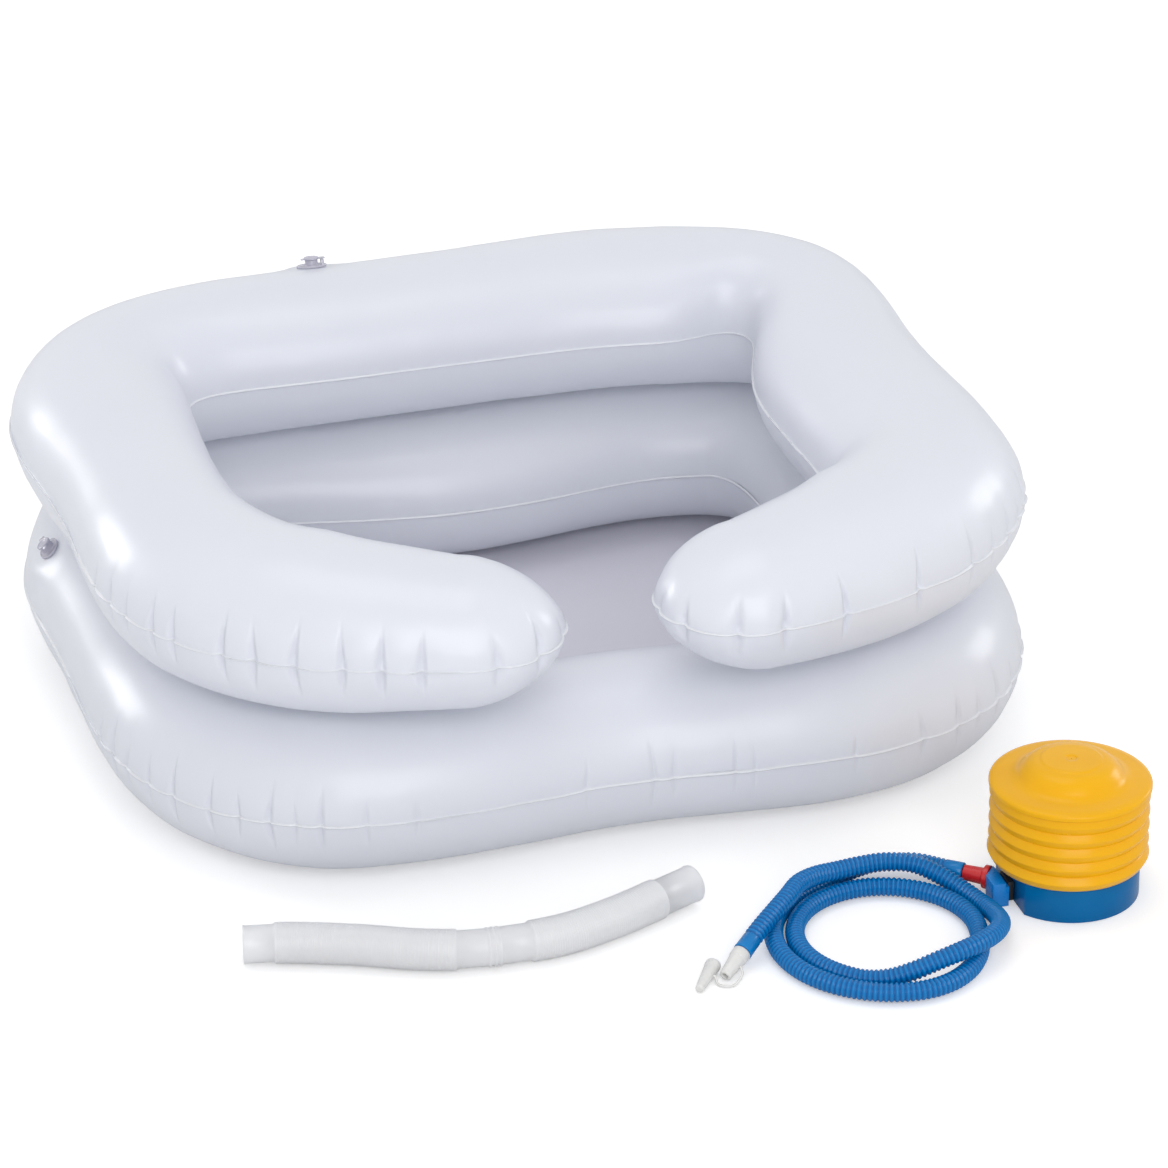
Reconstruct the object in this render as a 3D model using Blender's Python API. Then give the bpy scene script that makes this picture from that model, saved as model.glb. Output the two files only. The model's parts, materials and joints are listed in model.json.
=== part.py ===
"""Portable shampoo basin: an inflatable basin with a neck gap, its drain hose and its foot pump.

Metres, +Z up. The origin is on the ground under the middle of the basin, and the neck gap faces -Y.
The basin is two chambers of welded film, one on the other: a closed ring below and a U above.
"""
import math

import bmesh
import bpy
from mathutils import Matrix, Vector
from mathutils.bvhtree import BVHTree

# Clearances
CLEARANCE = 0.0003
OVERRUN = 0.002
LEAST_LENGTH = 1e-6

# Film chambers
BASIN_HEIGHT = 0.200
BASIN_MEAN_RADIUS = 0.3056
FILM = 0.0005
FLOOR_FILM = 0.0006
WELD_WIDTH = 0.003
LOWER_TUBE_WIDTH = 0.112
LOWER_OVAL = 0.0204
LOWER_SQUARE = -0.0274
LOWER_FRONT = 0.0030
LOWER_FRONT_CORNER = 0.0047
UPPER_TUBE_WIDTH = 0.118
UPPER_SET_IN = 0.0008
UPPER_OVAL = 0.0117
UPPER_SQUARE = -0.0189
UPPER_LOBE = -0.0050
UPPER_FRONT = -0.0062
UPPER_FRONT_CORNER = 0.0089
RIGHT_ARM_ANGLE = math.radians(-70.5)
LEFT_ARM_ANGLE = math.radians(246.5)
RING_STATIONS = 42
ARM_STATIONS = 38
TIP_STATIONS = 3
FILM_COLUMNS = 6
OUTLINE_STEP = math.radians(0.5)

# Inflation valves
STEM_RADIUS = 0.0042
STEM_BORE = 0.0026
STEM_TOP = 0.0050
STEM_BOTTOM = -0.0060
FLANGE_HALF_LENGTH = 0.0100
FLANGE_HALF_WIDTH = 0.0072
FLANGE_THICKNESS = 0.0010
PLUG_RADIUS = 0.0048
PLUG_THICKNESS = 0.0015
PIN_LENGTH = 0.0026
PIN_TOP_RADIUS = 0.0021
PIN_TIP_RADIUS = 0.0015
PLUG_HINGE_REACH = 0.0084
STRAP_WIDTH = 0.0040
STRAP_THICKNESS = 0.0008
POST_LENGTH = 0.0018
FLAP_RADIUS = 0.0038
FLAP_THICKNESS = 0.0005
VALVE_SIDES = 16
UPPER_VALVE_ANGLE = math.radians(110.9)
UPPER_VALVE_SHARE = 0.42
LOWER_VALVE_ANGLE = math.radians(161.4)
LOWER_VALVE_SHARE = 0.68

# Drain
DRAIN_X = -0.100
DRAIN_Y = -0.055
DRAIN_FLANGE_RADIUS = 0.0200
DRAIN_FLANGE_THICKNESS = 0.0015
DRAIN_COLLAR_RADIUS = 0.0140
DRAIN_COLLAR_HEIGHT = 0.0060
STOPPER_DEPTH = 0.0045
STOPPER_CAP_THICKNESS = 0.0020
STOPPER_GRIP_RADIUS = 0.0040
STOPPER_GRIP_HEIGHT = 0.0060
DRAIN_SIDES = 24

# Drain hose
DRAIN_HOSE_RADIUS = 0.0120
DRAIN_HOSE_VALLEY = 0.0011
DRAIN_HOSE_CUFF_RADIUS = 0.0108
DRAIN_HOSE_BORE = 0.0094
DRAIN_HOSE_RIDGE = 0.0006
DRAIN_HOSE_SIDES = 10
DRAIN_HOSE_STEPS = 12
LEFT_CUFF_LENGTH = 0.0170
MIDDLE_CUFF_LENGTH = 0.0410
MIDDLE_CUFF_START = 0.1220
RIGHT_CUFF_LENGTH = 0.0270
PLEATS = 28
MIDDLE_RIDGES = 3
RIDGE_PITCH = 0.0030
DRAIN_HOSE_ROUTE = (
    (-0.2455, -0.3075),
    (-0.2215, -0.3125),
    (-0.1850, -0.3260),
    (-0.1500, -0.3420),
    (-0.1180, -0.3500),
    (-0.0740, -0.3500),
    (-0.0390, -0.3405),
    (-0.0055, -0.3260),
    (0.0175, -0.3155),
)

# Foot pump
PUMP_X = 0.2305
PUMP_Y = -0.3618
BASE_RADIUS = 0.0420
BASE_FLAT = 0.0350
BASE_HEIGHT = 0.0216
BASE_SHELF = 0.0026
BASE_WALL = 0.0025
BASE_CHAMFER = 0.0025
BELLOWS_CREST = 0.0463
BELLOWS_VALLEY = 0.0440
BELLOWS_FOOT_SWELL = 0.0005
BELLOWS_WALL = 0.0014
BELLOWS_LIP = 0.0398
BELLOWS_PITCH = 0.0092
BELLOWS_PLEATS = 5
PLATE_RADIUS = 0.0470
PLATE_EDGE_RADIUS = 0.0458
PLATE_EDGE_HEIGHT = 0.0020
PLATE_SHOULDER_RADIUS = 0.0430
PLATE_SHOULDER_HEIGHT = 0.0050
DOME_FOOT_RADIUS = 0.0320
DOME_FOOT_HEIGHT = 0.0062
DOME_TOP_RADIUS = 0.0195
DOME_TOP_HEIGHT = 0.0163
PLATE_WALL = 0.0018
PUMP_SIDES = 32
FLAT_STEPS = 4

# Pump outlet
PORT_RADIUS = 0.0036
OUTLET_Y = -0.0007
OUTLET_Z = 0.0072
GASKET_HALF_WIDTH = 0.0072
GASKET_HEIGHT = 0.0134
GASKET_FOOT = 0.0010
GASKET_LENGTH = 0.0042
BLOCK_WIDTH = 0.0097
BLOCK_DEPTH = 0.0240
BLOCK_FRONT = 0.0112
BLOCK_STEP_Z = 0.0125
BLOCK_STEP = 0.0019
BLOCK_HEIGHT = 0.0150
CHAMBER_RADIUS = 0.0044
CHAMBER_DEPTH = 0.0050
PORT_FLAP_RADIUS = 0.0039
PORT_FLAP_THICKNESS = 0.0006
INLET_Z = 0.0080
INLET_FLAP_RADIUS = 0.0048
CONNECTOR_ANGLE = math.radians(140.2)
CONNECTOR_Z = 0.0095
CONNECTOR_SPIGOT_RADIUS = 0.0025
CONNECTOR_SPIGOT_LENGTH = 0.0030
CONNECTOR_FLANGE_RADIUS = 0.0070
CONNECTOR_FLANGE_THICKNESS = 0.0035
CONNECTOR_TUBE_RADIUS = 0.0046
CONNECTOR_TUBE_LENGTH = 0.0160
CONNECTOR_BARB_LENGTH = 0.0080
CONNECTOR_BORE = 0.0015
ROUND_SIDES = 16

# Pump hose
HOSE_RADIUS = 0.0057
HOSE_VALLEY = 0.0007
HOSE_BORE = 0.0036
HOSE_SIDES = 8
HOSE_RIBS = 124
COIL_FROM_PUMP_X = -0.1204
COIL_FROM_PUMP_Y = -0.0292
COIL_RADIUS = 0.0645
STRAND_GAP = 0.0008
GROOVE_SHARE = 0.90
OVER_SHARE = 1.19
HOSE_END_X = 0.0232
HOSE_END_Y = -0.3932
HOSE_END_Z = 0.00975
HOSE_END_HEADING = math.radians(221.3)
HOSE_END_DIP = math.radians(-17.5)
COIL_STEP = 15
COIL_CURVE_STEPS = 8
LEAD_IN_STEPS = 12
LEAD_OUT_STEPS = 16
BORE_EVERY = 5
NEAR_DIAMETERS = 6

# Turns round the coil, in degrees, between which the strand changes its track or its height
COIL_SPAN = (62, 866)
DOWN_TO_GROUND = (58, 110)
TO_OUTER_TRACK = (66, 114)
TO_INNER_TRACK = (268, 346)
BACK_TO_OUTER_TRACK = (628, 706)
TO_GROOVE = (772, 818)
CROSSING_RISE = (596, 662)
CROSSING_FALL = (672, 738)
GROOVE_RISE = (735, 788)
OVER_RISE = (818, 852)

# Nozzle, cap and tether
NOZZLE_LENGTH = 0.0200
NOZZLE_COLLAR_LENGTH = 0.0060
NOZZLE_COLLAR_RADIUS = 0.0056
NOZZLE_TIP_RADIUS = 0.0036
NOZZLE_BORE = 0.0018
NOZZLE_BARB_LENGTH = 0.0080
CAP_LENGTH = 0.0250
CAP_WIDE_RADIUS = 0.0046
CAP_NARROW_RADIUS = 0.0024
CAP_WALL = 0.0012
CAP_BORE_TAPER = 0.0006
CAP_BORE_DEPTH = 0.0120
CAP_X = 0.0060
CAP_Y = -0.3935
CAP_HEADING = math.radians(234.0)
TETHER_RADIUS = 0.0008
TETHER_ON_CAP = 0.0110
TETHER_ON_NOZZLE = 0.0110
TETHER_STUB = 0.0015
TETHER_ROUTE = (
    (0.0040, -0.4085, 0.0011),
    (0.0075, -0.4122, 0.0011),
    (0.0130, -0.4120, 0.0011),
    (0.0182, -0.4082, 0.0040),
)
TETHER_SIDES = 6
TETHER_STEPS = 3

# Worked out from the sizes above
CHAMBER_HEIGHT = (BASIN_HEIGHT - FLOOR_FILM - 2 * CLEARANCE) / 2
DOME_RISE = CHAMBER_HEIGHT / 2 - CLEARANCE / 2 - FILM
LOWER_SEAM_Z = FLOOR_FILM + CLEARANCE + CHAMBER_HEIGHT / 2
UPPER_SEAM_Z = LOWER_SEAM_Z + CHAMBER_HEIGHT + CLEARANCE
LOWER_OUTLINE = (BASIN_MEAN_RADIUS, LOWER_OVAL, LOWER_SQUARE, 0, LOWER_FRONT, LOWER_FRONT_CORNER)
UPPER_OUTLINE = (
    BASIN_MEAN_RADIUS - UPPER_SET_IN,
    UPPER_OVAL,
    UPPER_SQUARE,
    UPPER_LOBE,
    UPPER_FRONT,
    UPPER_FRONT_CORNER,
)
DRAIN_BORE = DRAIN_HOSE_CUFF_RADIUS + CLEARANCE
BELLOWS_FOOT_Z = BASE_HEIGHT + CLEARANCE
BELLOWS_TOP_Z = BELLOWS_FOOT_Z + BELLOWS_PLEATS * BELLOWS_PITCH
PLATE_Z = BELLOWS_TOP_Z + CLEARANCE
STRAND_STEP = 2 * HOSE_RADIUS + STRAND_GAP
GASKET_RIGHT = PUMP_X - BASE_FLAT - CLEARANCE
BLOCK_RIGHT = GASKET_RIGHT - GASKET_LENGTH - CLEARANCE
CONNECTOR_AXIS = Vector((math.cos(CONNECTOR_ANGLE), math.sin(CONNECTOR_ANGLE), 0))


def clear_scene():
    for obj in list(bpy.data.objects):
        bpy.data.objects.remove(obj)


def principled(name, colour, roughness, metallic=0.0):
    material = bpy.data.materials.new(name)
    material.use_nodes = True
    shader = material.node_tree.nodes["Principled BSDF"]
    shader.inputs["Base Color"].default_value = (*colour, 1)
    shader.inputs["Roughness"].default_value = roughness
    shader.inputs["Metallic"].default_value = metallic
    return material


def add_object(name, bm, material, matrix=None):
    """Make a named object from a closed bmesh, with its faces pointing out."""
    bmesh.ops.recalc_face_normals(bm, faces=bm.faces)
    mesh = bpy.data.meshes.new(name)
    bm.to_mesh(mesh)
    bm.free()
    if material:
        mesh.materials.append(material)
    obj = bpy.data.objects.new(name, mesh)
    bpy.context.scene.collection.objects.link(obj)
    if matrix:
        obj.matrix_world = matrix
    return obj


def cut(obj, cutter):
    """Take one object's shape out of another."""
    cutter.hide_render = True
    cutter.display_type = "WIRE"
    modifier = obj.modifiers.new("Cut " + cutter.name, "BOOLEAN")
    modifier.operation = "DIFFERENCE"
    modifier.solver = "EXACT"
    modifier.object = cutter


def stack_rings(bm, rings, capped=True, looped=False):
    """Join rings of points in turn, with a face over each end or the last ring joined to the first."""
    rows = [[bm.verts.new(point) for point in ring] for ring in rings]
    pairs = list(zip(rows, rows[1:]))
    if looped:
        pairs.append((rows[-1], rows[0]))
    for low, high in pairs:
        for i, vert in enumerate(low):
            j = (i + 1) % len(low)
            bm.faces.new((vert, low[j], high[j], high[i]))
    if capped:
        bm.faces.new(rows[0])
        bm.faces.new(rows[-1])
    return rows


def circle(radius, z, sides, width=None):
    """A ring of points round the Z axis, an ellipse where width is given."""
    other = radius if width is None else width
    turns = [2 * math.pi * i / sides for i in range(sides)]
    return [Vector((radius * math.cos(t), other * math.sin(t), z)) for t in turns]


def turned(name, profile, sides, material, matrix, looped=False):
    """Turn a profile of (radius, z) pairs round its axis."""
    bm = bmesh.new()
    stack_rings(bm, [circle(r, z, sides) for r, z in profile], not looped, looped)
    return add_object(name, bm, material, matrix)


def along(origin, direction):
    """A matrix that carries +Z onto a direction, with its X level."""
    z = direction.normalized()
    x = Vector((-z.y, z.x, 0))
    x = x.normalized() if x.length > LEAST_LENGTH else Vector((1, 0, 0))
    y = z.cross(x)
    return Matrix.Translation(origin) @ Matrix((x, y, z)).transposed().to_4x4()


# Chambers


def outline_radius(outline, angle):
    mean, oval, square, lobe, front, corner = outline
    even = oval * math.cos(2 * angle) + square * math.cos(4 * angle) + lobe * math.cos(6 * angle)
    return mean + even + front * math.sin(angle) + corner * math.sin(3 * angle)


def centre_point(outline, tube_width, angle):
    radius = outline_radius(outline, angle) - WELD_WIDTH - tube_width / 2
    return Vector((radius * math.cos(angle), radius * math.sin(angle), 0))


def station(outline, tube_width, angle, tip=0.0):
    """Centre, outward normal, heading and share of the round tip of one section of a chamber."""
    before = centre_point(outline, tube_width, angle - OUTLINE_STEP)
    after = centre_point(outline, tube_width, angle + OUTLINE_STEP)
    heading = (after - before).normalized()
    normal = Vector((heading.y, -heading.x, 0))
    return centre_point(outline, tube_width, angle), normal, heading, tip


def ring_stations():
    turns = [2 * math.pi * i / RING_STATIONS for i in range(RING_STATIONS)]
    return [station(LOWER_OUTLINE, LOWER_TUBE_WIDTH, t) for t in turns]


def arm_stations():
    """Sections of the U from the right arm's tip, round the back, to the left arm's tip."""
    shares = [math.sin(math.pi / 2 * i / TIP_STATIONS) for i in range(TIP_STATIONS, 0, -1)]
    span = LEFT_ARM_ANGLE - RIGHT_ARM_ANGLE
    turns = [RIGHT_ARM_ANGLE + span * i / ARM_STATIONS for i in range(ARM_STATIONS + 1)]
    right = [station(UPPER_OUTLINE, UPPER_TUBE_WIDTH, turns[0], -s) for s in shares]
    left = [station(UPPER_OUTLINE, UPPER_TUBE_WIDTH, turns[-1], s) for s in reversed(shares)]
    return right + [station(UPPER_OUTLINE, UPPER_TUBE_WIDTH, t) for t in turns] + left


def film_point(place, half_width, lift, rise, share):
    """A point of the film. share runs from -1 at the inner weld to 1 at the outer weld."""
    centre, normal, heading, tip = place
    across = half_width * share * math.sqrt(1 - tip * tip / 2)
    onward = half_width * tip * math.sqrt(1 - share * share / 2)
    height = rise * math.sqrt(max(0, 1 - share * share)) * math.sqrt(max(0, 1 - tip * tip))
    return centre + normal * across + heading * onward + Vector((0, 0, lift + height))


def border_of(rows, looped):
    """The grid's edge as closed loops of (row, column)."""
    last_row, last_column = len(rows) - 1, len(rows[0]) - 1
    if looped:
        return [[(i, 0) for i in range(last_row + 1)], [(i, last_column) for i in range(last_row + 1)]]
    first = [(0, j) for j in range(last_column)]
    second = [(i, last_column) for i in range(last_row)]
    third = [(last_row, j) for j in range(last_column, 0, -1)]
    fourth = [(i, 0) for i in range(last_row, 0, -1)]
    return [first + second + third + fourth]


def weld_tips(rows, loops, centres):
    """The weld's outer edge, a weld's width out from each point of the grid's edge."""
    tips = []
    for loop in loops:
        points = [rows[i][j] for i, j in loop]
        edge = []
        for k, point in enumerate(points):
            heading = points[(k + 1) % len(points)] - points[k - 1]
            normal = Vector((heading.y, -heading.x, 0)).normalized()
            i, j = loop[k]
            inward = centres[i] - point
            if normal.dot(Vector((inward.x, inward.y, 0))) > 0:
                normal = -normal
            edge.append(point + normal * WELD_WIDTH)
        tips.append(edge)
    return tips


def film_sheet(name, stations, tube_width, seam_z, side, looped, material):
    """One sheet of a chamber: a domed film with a flat weld round its edge, above or below the seam."""
    bm = bmesh.new()
    shares = [math.sin(math.pi * (j / FILM_COLUMNS - 0.5)) for j in range(FILM_COLUMNS + 1)]
    outside = film_grid(stations, tube_width / 2, CLEARANCE / 2 + FILM, shares)
    inside = film_grid(stations, tube_width / 2 - FILM, CLEARANCE / 2, shares)
    loops = border_of(outside, looped)
    tips = weld_tips(outside, loops, [place[0] for place in stations])
    skins = []
    for grid, lift in ((outside, CLEARANCE / 2 + FILM), (inside, CLEARANCE / 2)):
        skins.append(skin_of(bm, grid, loops, tips, lift, looped))
    for outer_edge, inner_edge in zip(*skins):
        for k in range(len(outer_edge)):
            n = (k + 1) % len(outer_edge)
            bm.faces.new((outer_edge[k], outer_edge[n], inner_edge[n], inner_edge[k]))
    flip = Matrix.Translation((0, 0, seam_z)) @ Matrix.Diagonal((1, 1, side, 1))
    bmesh.ops.transform(bm, matrix=flip, verts=bm.verts)
    return add_object(name, bm, material)


def film_grid(stations, half_width, lift, shares):
    return [[film_point(place, half_width, lift, DOME_RISE, s) for s in shares] for place in stations]


def skin_of(bm, grid, loops, tips, lift, looped):
    """Add one face of the film and its weld, and give back the weld's outer edges."""
    verts = [[bm.verts.new(point) for point in row] for row in grid]
    count = len(verts)
    for i in range(count if looped else count - 1):
        this_row, next_row = verts[i], verts[(i + 1) % count]
        for j in range(len(this_row) - 1):
            bm.faces.new((this_row[j], this_row[j + 1], next_row[j + 1], next_row[j]))
    edges = []
    for loop, tip_points in zip(loops, tips):
        edge = [bm.verts.new((p.x, p.y, lift)) for p in tip_points]
        for k in range(len(loop)):
            n = (k + 1) % len(loop)
            near, far = verts[loop[k][0]][loop[k][1]], verts[loop[n][0]][loop[n][1]]
            bm.faces.new((near, far, edge[n], edge[k]))
        edges.append(edge)
    return edges


def basin_floor(material):
    """The floor film, welded under the lower chamber where it touches the ground."""
    bm = bmesh.new()
    rim = [centre + normal * WELD_WIDTH for centre, normal, _, _ in ring_stations()]
    stack_rings(bm, [rim, [p + Vector((0, 0, FLOOR_FILM)) for p in rim]])
    floor = add_object("basin_floor_sheet", bm, material)
    hole = turned(
        "drain_hole_cutter",
        [(DRAIN_BORE, -OVERRUN), (DRAIN_BORE, FLOOR_FILM + OVERRUN)],
        DRAIN_SIDES,
        None,
        Matrix.Translation((DRAIN_X, DRAIN_Y, 0)),
    )
    cut(floor, hole)


# Inflation valves


def seat_frame(sheet, near, heading):
    """A frame on the film nearest to a point, with Z out of the film and X along a heading."""
    tree = BVHTree.FromObject(sheet, bpy.context.evaluated_depsgraph_get())
    place, normal, _, _ = tree.find_nearest(near)
    x = (heading - normal * heading.dot(normal)).normalized()
    y = normal.cross(x)
    return Matrix.Translation(place) @ Matrix((x, y, normal)).transposed().to_4x4()


def valve_stem(prefix, frame, material):
    """The clear stem: a tube through the film, with its oval flange outside."""
    foot = CLEARANCE
    top = foot + FLANGE_THICKNESS
    rings = [
        circle(STEM_RADIUS, STEM_BOTTOM, VALVE_SIDES),
        circle(STEM_RADIUS, foot, VALVE_SIDES),
        circle(FLANGE_HALF_LENGTH, foot, VALVE_SIDES, FLANGE_HALF_WIDTH),
        circle(FLANGE_HALF_LENGTH, top, VALVE_SIDES, FLANGE_HALF_WIDTH),
        circle(STEM_RADIUS, top, VALVE_SIDES),
        circle(STEM_RADIUS, STEM_TOP, VALVE_SIDES),
        circle(STEM_BORE, STEM_TOP, VALVE_SIDES),
        circle(STEM_BORE, STEM_BOTTOM, VALVE_SIDES),
    ]
    bm = bmesh.new()
    stack_rings(bm, rings, False, True)
    return add_object(prefix + "_valve_stem", bm, material, frame)


def box_rings(x0, x1, y0, y1, z0, z1):
    corners = ((x0, y0), (x1, y0), (x1, y1), (x0, y1))
    return [[Vector((x, y, z)) for x, y in corners] for z in (z0, z1)]


def joined(obj, other):
    """Join another object's shape to this one as one body."""
    other.hide_render = True
    other.display_type = "WIRE"
    modifier = obj.modifiers.new("Join " + other.name, "BOOLEAN")
    modifier.operation = "UNION"
    modifier.solver = "EXACT"
    modifier.object = other


def hinge_post(prefix, frame, material):
    """The low post at the end of the flange that the plug's strap turns on."""
    bm = bmesh.new()
    right = PLUG_HINGE_REACH - CLEARANCE
    half = STRAP_WIDTH / 2
    foot = CLEARANCE + FLANGE_THICKNESS / 2
    stack_rings(bm, box_rings(right - POST_LENGTH, right, -half, half, foot, STEM_TOP - CLEARANCE))
    return add_object(prefix + "_valve_post_joined", bm, material, frame)


def valve_plug(prefix, frame, material):
    """The plug: a disc with a tapered pin in the bore, and a strap to the hinge at the flange's end."""
    hinge = Vector((PLUG_HINGE_REACH, 0, STEM_TOP + CLEARANCE + STRAP_THICKNESS / 2))
    to_hinge = Matrix.Translation(-hinge)
    foot = STEM_TOP + CLEARANCE
    profile = [
        (PIN_TIP_RADIUS, foot - PIN_LENGTH),
        (PIN_TOP_RADIUS, foot),
        (PLUG_RADIUS, foot),
        (PLUG_RADIUS, foot + PLUG_THICKNESS),
    ]
    bm = bmesh.new()
    stack_rings(bm, [circle(r, z, VALVE_SIDES) for r, z in profile])
    bmesh.ops.transform(bm, matrix=to_hinge, verts=bm.verts)
    matrix = frame @ Matrix.Translation(hinge)
    plug = add_object(prefix + "_valve_plug", bm, material, matrix)
    strap = bmesh.new()
    right = PLUG_HINGE_REACH + STRAP_THICKNESS / 2
    half = STRAP_WIDTH / 2
    stack_rings(strap, box_rings(0, right, -half, half, foot, foot + STRAP_THICKNESS))
    bmesh.ops.transform(strap, matrix=to_hinge, verts=strap.verts)
    joined(plug, add_object(prefix + "_valve_strap_joined", strap, material, matrix))
    return plug


def valve_flap(prefix, frame, material):
    """The check flap inside the chamber, hinged at one side of the stem's lower end."""
    hinge = Vector((FLAP_RADIUS, 0, STEM_BOTTOM - CLEARANCE - FLAP_THICKNESS / 2))
    bm = bmesh.new()
    half = FLAP_THICKNESS / 2
    stack_rings(bm, [circle(FLAP_RADIUS, z, VALVE_SIDES) for z in (-half, half)])
    bmesh.ops.transform(bm, matrix=Matrix.Translation((-FLAP_RADIUS, 0, 0)), verts=bm.verts)
    return add_object(prefix + "_valve_flap", bm, material, frame @ Matrix.Translation(hinge))


def inflation_valve(prefix, sheet, near, heading, clear_film, white_film):
    frame = seat_frame(sheet, near, heading)
    stem = valve_stem(prefix, frame, clear_film)
    joined(stem, hinge_post(prefix, frame, clear_film))
    valve_plug(prefix, frame, clear_film)
    valve_flap(prefix, frame, white_film)
    hole = turned(
        prefix + "_valve_hole_cutter",
        [(STEM_RADIUS + CLEARANCE, STEM_BOTTOM), (STEM_RADIUS + CLEARANCE, STEM_TOP)],
        VALVE_SIDES,
        None,
        frame,
    )
    cut(sheet, hole)


# Drain


def drain(socket_material, stopper_material):
    foot = FLOOR_FILM + CLEARANCE
    rim = foot + DRAIN_COLLAR_HEIGHT
    place = Matrix.Translation((DRAIN_X, DRAIN_Y, 0))
    socket = [
        (DRAIN_BORE, foot),
        (DRAIN_FLANGE_RADIUS, foot),
        (DRAIN_FLANGE_RADIUS, foot + DRAIN_FLANGE_THICKNESS),
        (DRAIN_COLLAR_RADIUS, foot + DRAIN_FLANGE_THICKNESS),
        (DRAIN_COLLAR_RADIUS, rim),
        (DRAIN_BORE, rim),
    ]
    turned("drain_socket", socket, DRAIN_SIDES, socket_material, place, True)
    seat = rim + CLEARANCE
    cap = seat + STOPPER_CAP_THICKNESS
    stopper = [
        (DRAIN_BORE - CLEARANCE, seat - STOPPER_DEPTH),
        (DRAIN_BORE - CLEARANCE, seat),
        (DRAIN_COLLAR_RADIUS, seat),
        (DRAIN_COLLAR_RADIUS, cap),
        (STOPPER_GRIP_RADIUS, cap),
        (STOPPER_GRIP_RADIUS, cap + STOPPER_GRIP_HEIGHT),
    ]
    turned("drain_stopper", stopper, DRAIN_SIDES, stopper_material, place)


# Tubes


def curve_through(points, steps):
    """A smooth curve through points, with the same number of steps between each two."""
    ends = [2 * points[0] - points[1]] + list(points) + [2 * points[-1] - points[-2]]
    line = []
    for a, b, c, d in zip(ends, ends[1:], ends[2:], ends[3:]):
        slope = c - a
        bend = 2 * a - 5 * b + 4 * c - d
        twist = 3 * b - a - 3 * c + d
        for k in range(steps):
            t = k / steps
            line.append(b + (slope * t + bend * t**2 + twist * t**3) / 2)
    line.append(points[-1])
    return line


def hermite(start, start_pull, end, end_pull, steps):
    """A smooth run between two points that leaves and arrives along the given pulls."""
    line = []
    for k in range(steps + 1):
        t = k / steps
        high = 3 * t**2 - 2 * t**3
        along_start = t**3 - 2 * t**2 + t
        along_end = t**3 - t**2
        line.append(start * (1 - high) + end * high + start_pull * along_start + end_pull * along_end)
    return line


def lengths_along(line):
    total = [0]
    for a, b in zip(line, line[1:]):
        total.append(total[-1] + (b - a).length)
    return total


def point_at(line, lengths, length):
    i = 0
    while i < len(lengths) - 2 and lengths[i + 1] < length:
        i += 1
    share = (length - lengths[i]) / (lengths[i + 1] - lengths[i])
    return line[i].lerp(line[i + 1], share)


def tube_frames(points):
    """A frame at each point of a line, turned as little as possible from one to the next."""
    frames = []
    side = None
    for i, point in enumerate(points):
        before, after = points[max(i - 1, 0)], points[min(i + 1, len(points) - 1)]
        heading = (after - before).normalized()
        if side is None:
            side = heading.cross(Vector((0, 0, 1))).normalized()
        side = (side - heading * side.dot(heading)).normalized()
        frames.append((point, side, side.cross(heading)))
    return frames


def tube_ring(frame, radius, sides):
    point, side, up = frame
    turns = [2 * math.pi * i / sides for i in range(sides)]
    return [point + side * (radius * math.cos(t)) + up * (radius * math.sin(t)) for t in turns]


def hollow_tube(name, points, radii, bore, bore_every, sides, material):
    """A tube whose outer radius changes along it, with a plain bore right through."""
    frames = tube_frames(points)
    outer = [tube_ring(f, r, sides) for f, r in zip(frames, radii)]
    kept = list(range(0, len(frames) - 1, bore_every)) + [len(frames) - 1]
    inner = [tube_ring(frames[i], bore, sides) for i in reversed(kept)]
    bm = bmesh.new()
    stack_rings(bm, outer + inner, False, True)
    return add_object(name, bm, material)


def drain_hose(material):
    """The pleated drain hose: a cuff at each end and one in the middle, with three small ridges."""
    level = DRAIN_HOSE_RADIUS + CLEARANCE
    route = [Vector((x, y, level)) for x, y in DRAIN_HOSE_ROUTE]
    line = curve_through(route, DRAIN_HOSE_STEPS)
    lengths = lengths_along(line)
    total = lengths[-1]
    middle_end = MIDDLE_CUFF_START + MIDDLE_CUFF_LENGTH
    valley = DRAIN_HOSE_RADIUS - DRAIN_HOSE_VALLEY
    places = [(0, DRAIN_HOSE_CUFF_RADIUS)]
    places += pleat_places(LEFT_CUFF_LENGTH, MIDDLE_CUFF_START, valley)
    ridge = MIDDLE_CUFF_START + MIDDLE_CUFF_LENGTH / 2 - RIDGE_PITCH * MIDDLE_RIDGES / 2
    places.append((ridge, DRAIN_HOSE_CUFF_RADIUS))
    for k in range(MIDDLE_RIDGES):
        places.append((ridge + (k + 0.5) * RIDGE_PITCH, DRAIN_HOSE_CUFF_RADIUS + DRAIN_HOSE_RIDGE))
        places.append((ridge + (k + 1) * RIDGE_PITCH, DRAIN_HOSE_CUFF_RADIUS))
    places += pleat_places(middle_end, total - RIGHT_CUFF_LENGTH, valley)
    places.append((total, DRAIN_HOSE_CUFF_RADIUS))
    points = [point_at(line, lengths, place) for place, _ in places]
    hollow_tube(
        "drain_hose",
        points,
        [radius for _, radius in places],
        DRAIN_HOSE_BORE,
        BORE_EVERY,
        DRAIN_HOSE_SIDES,
        material,
    )
    print("drain hose length", round(total, 4))


def pleat_places(start, end, valley):
    """Places along the hose and their radii, from cuff to cuff."""
    pitch = (end - start) / PLEATS
    places = [(start, DRAIN_HOSE_CUFF_RADIUS)]
    for k in range(PLEATS):
        places.append((start + (k + 0.5) * pitch, DRAIN_HOSE_RADIUS))
        places.append((start + (k + 1) * pitch, valley))
    places[-1] = (end, DRAIN_HOSE_CUFF_RADIUS)
    return places


# Pump


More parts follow.
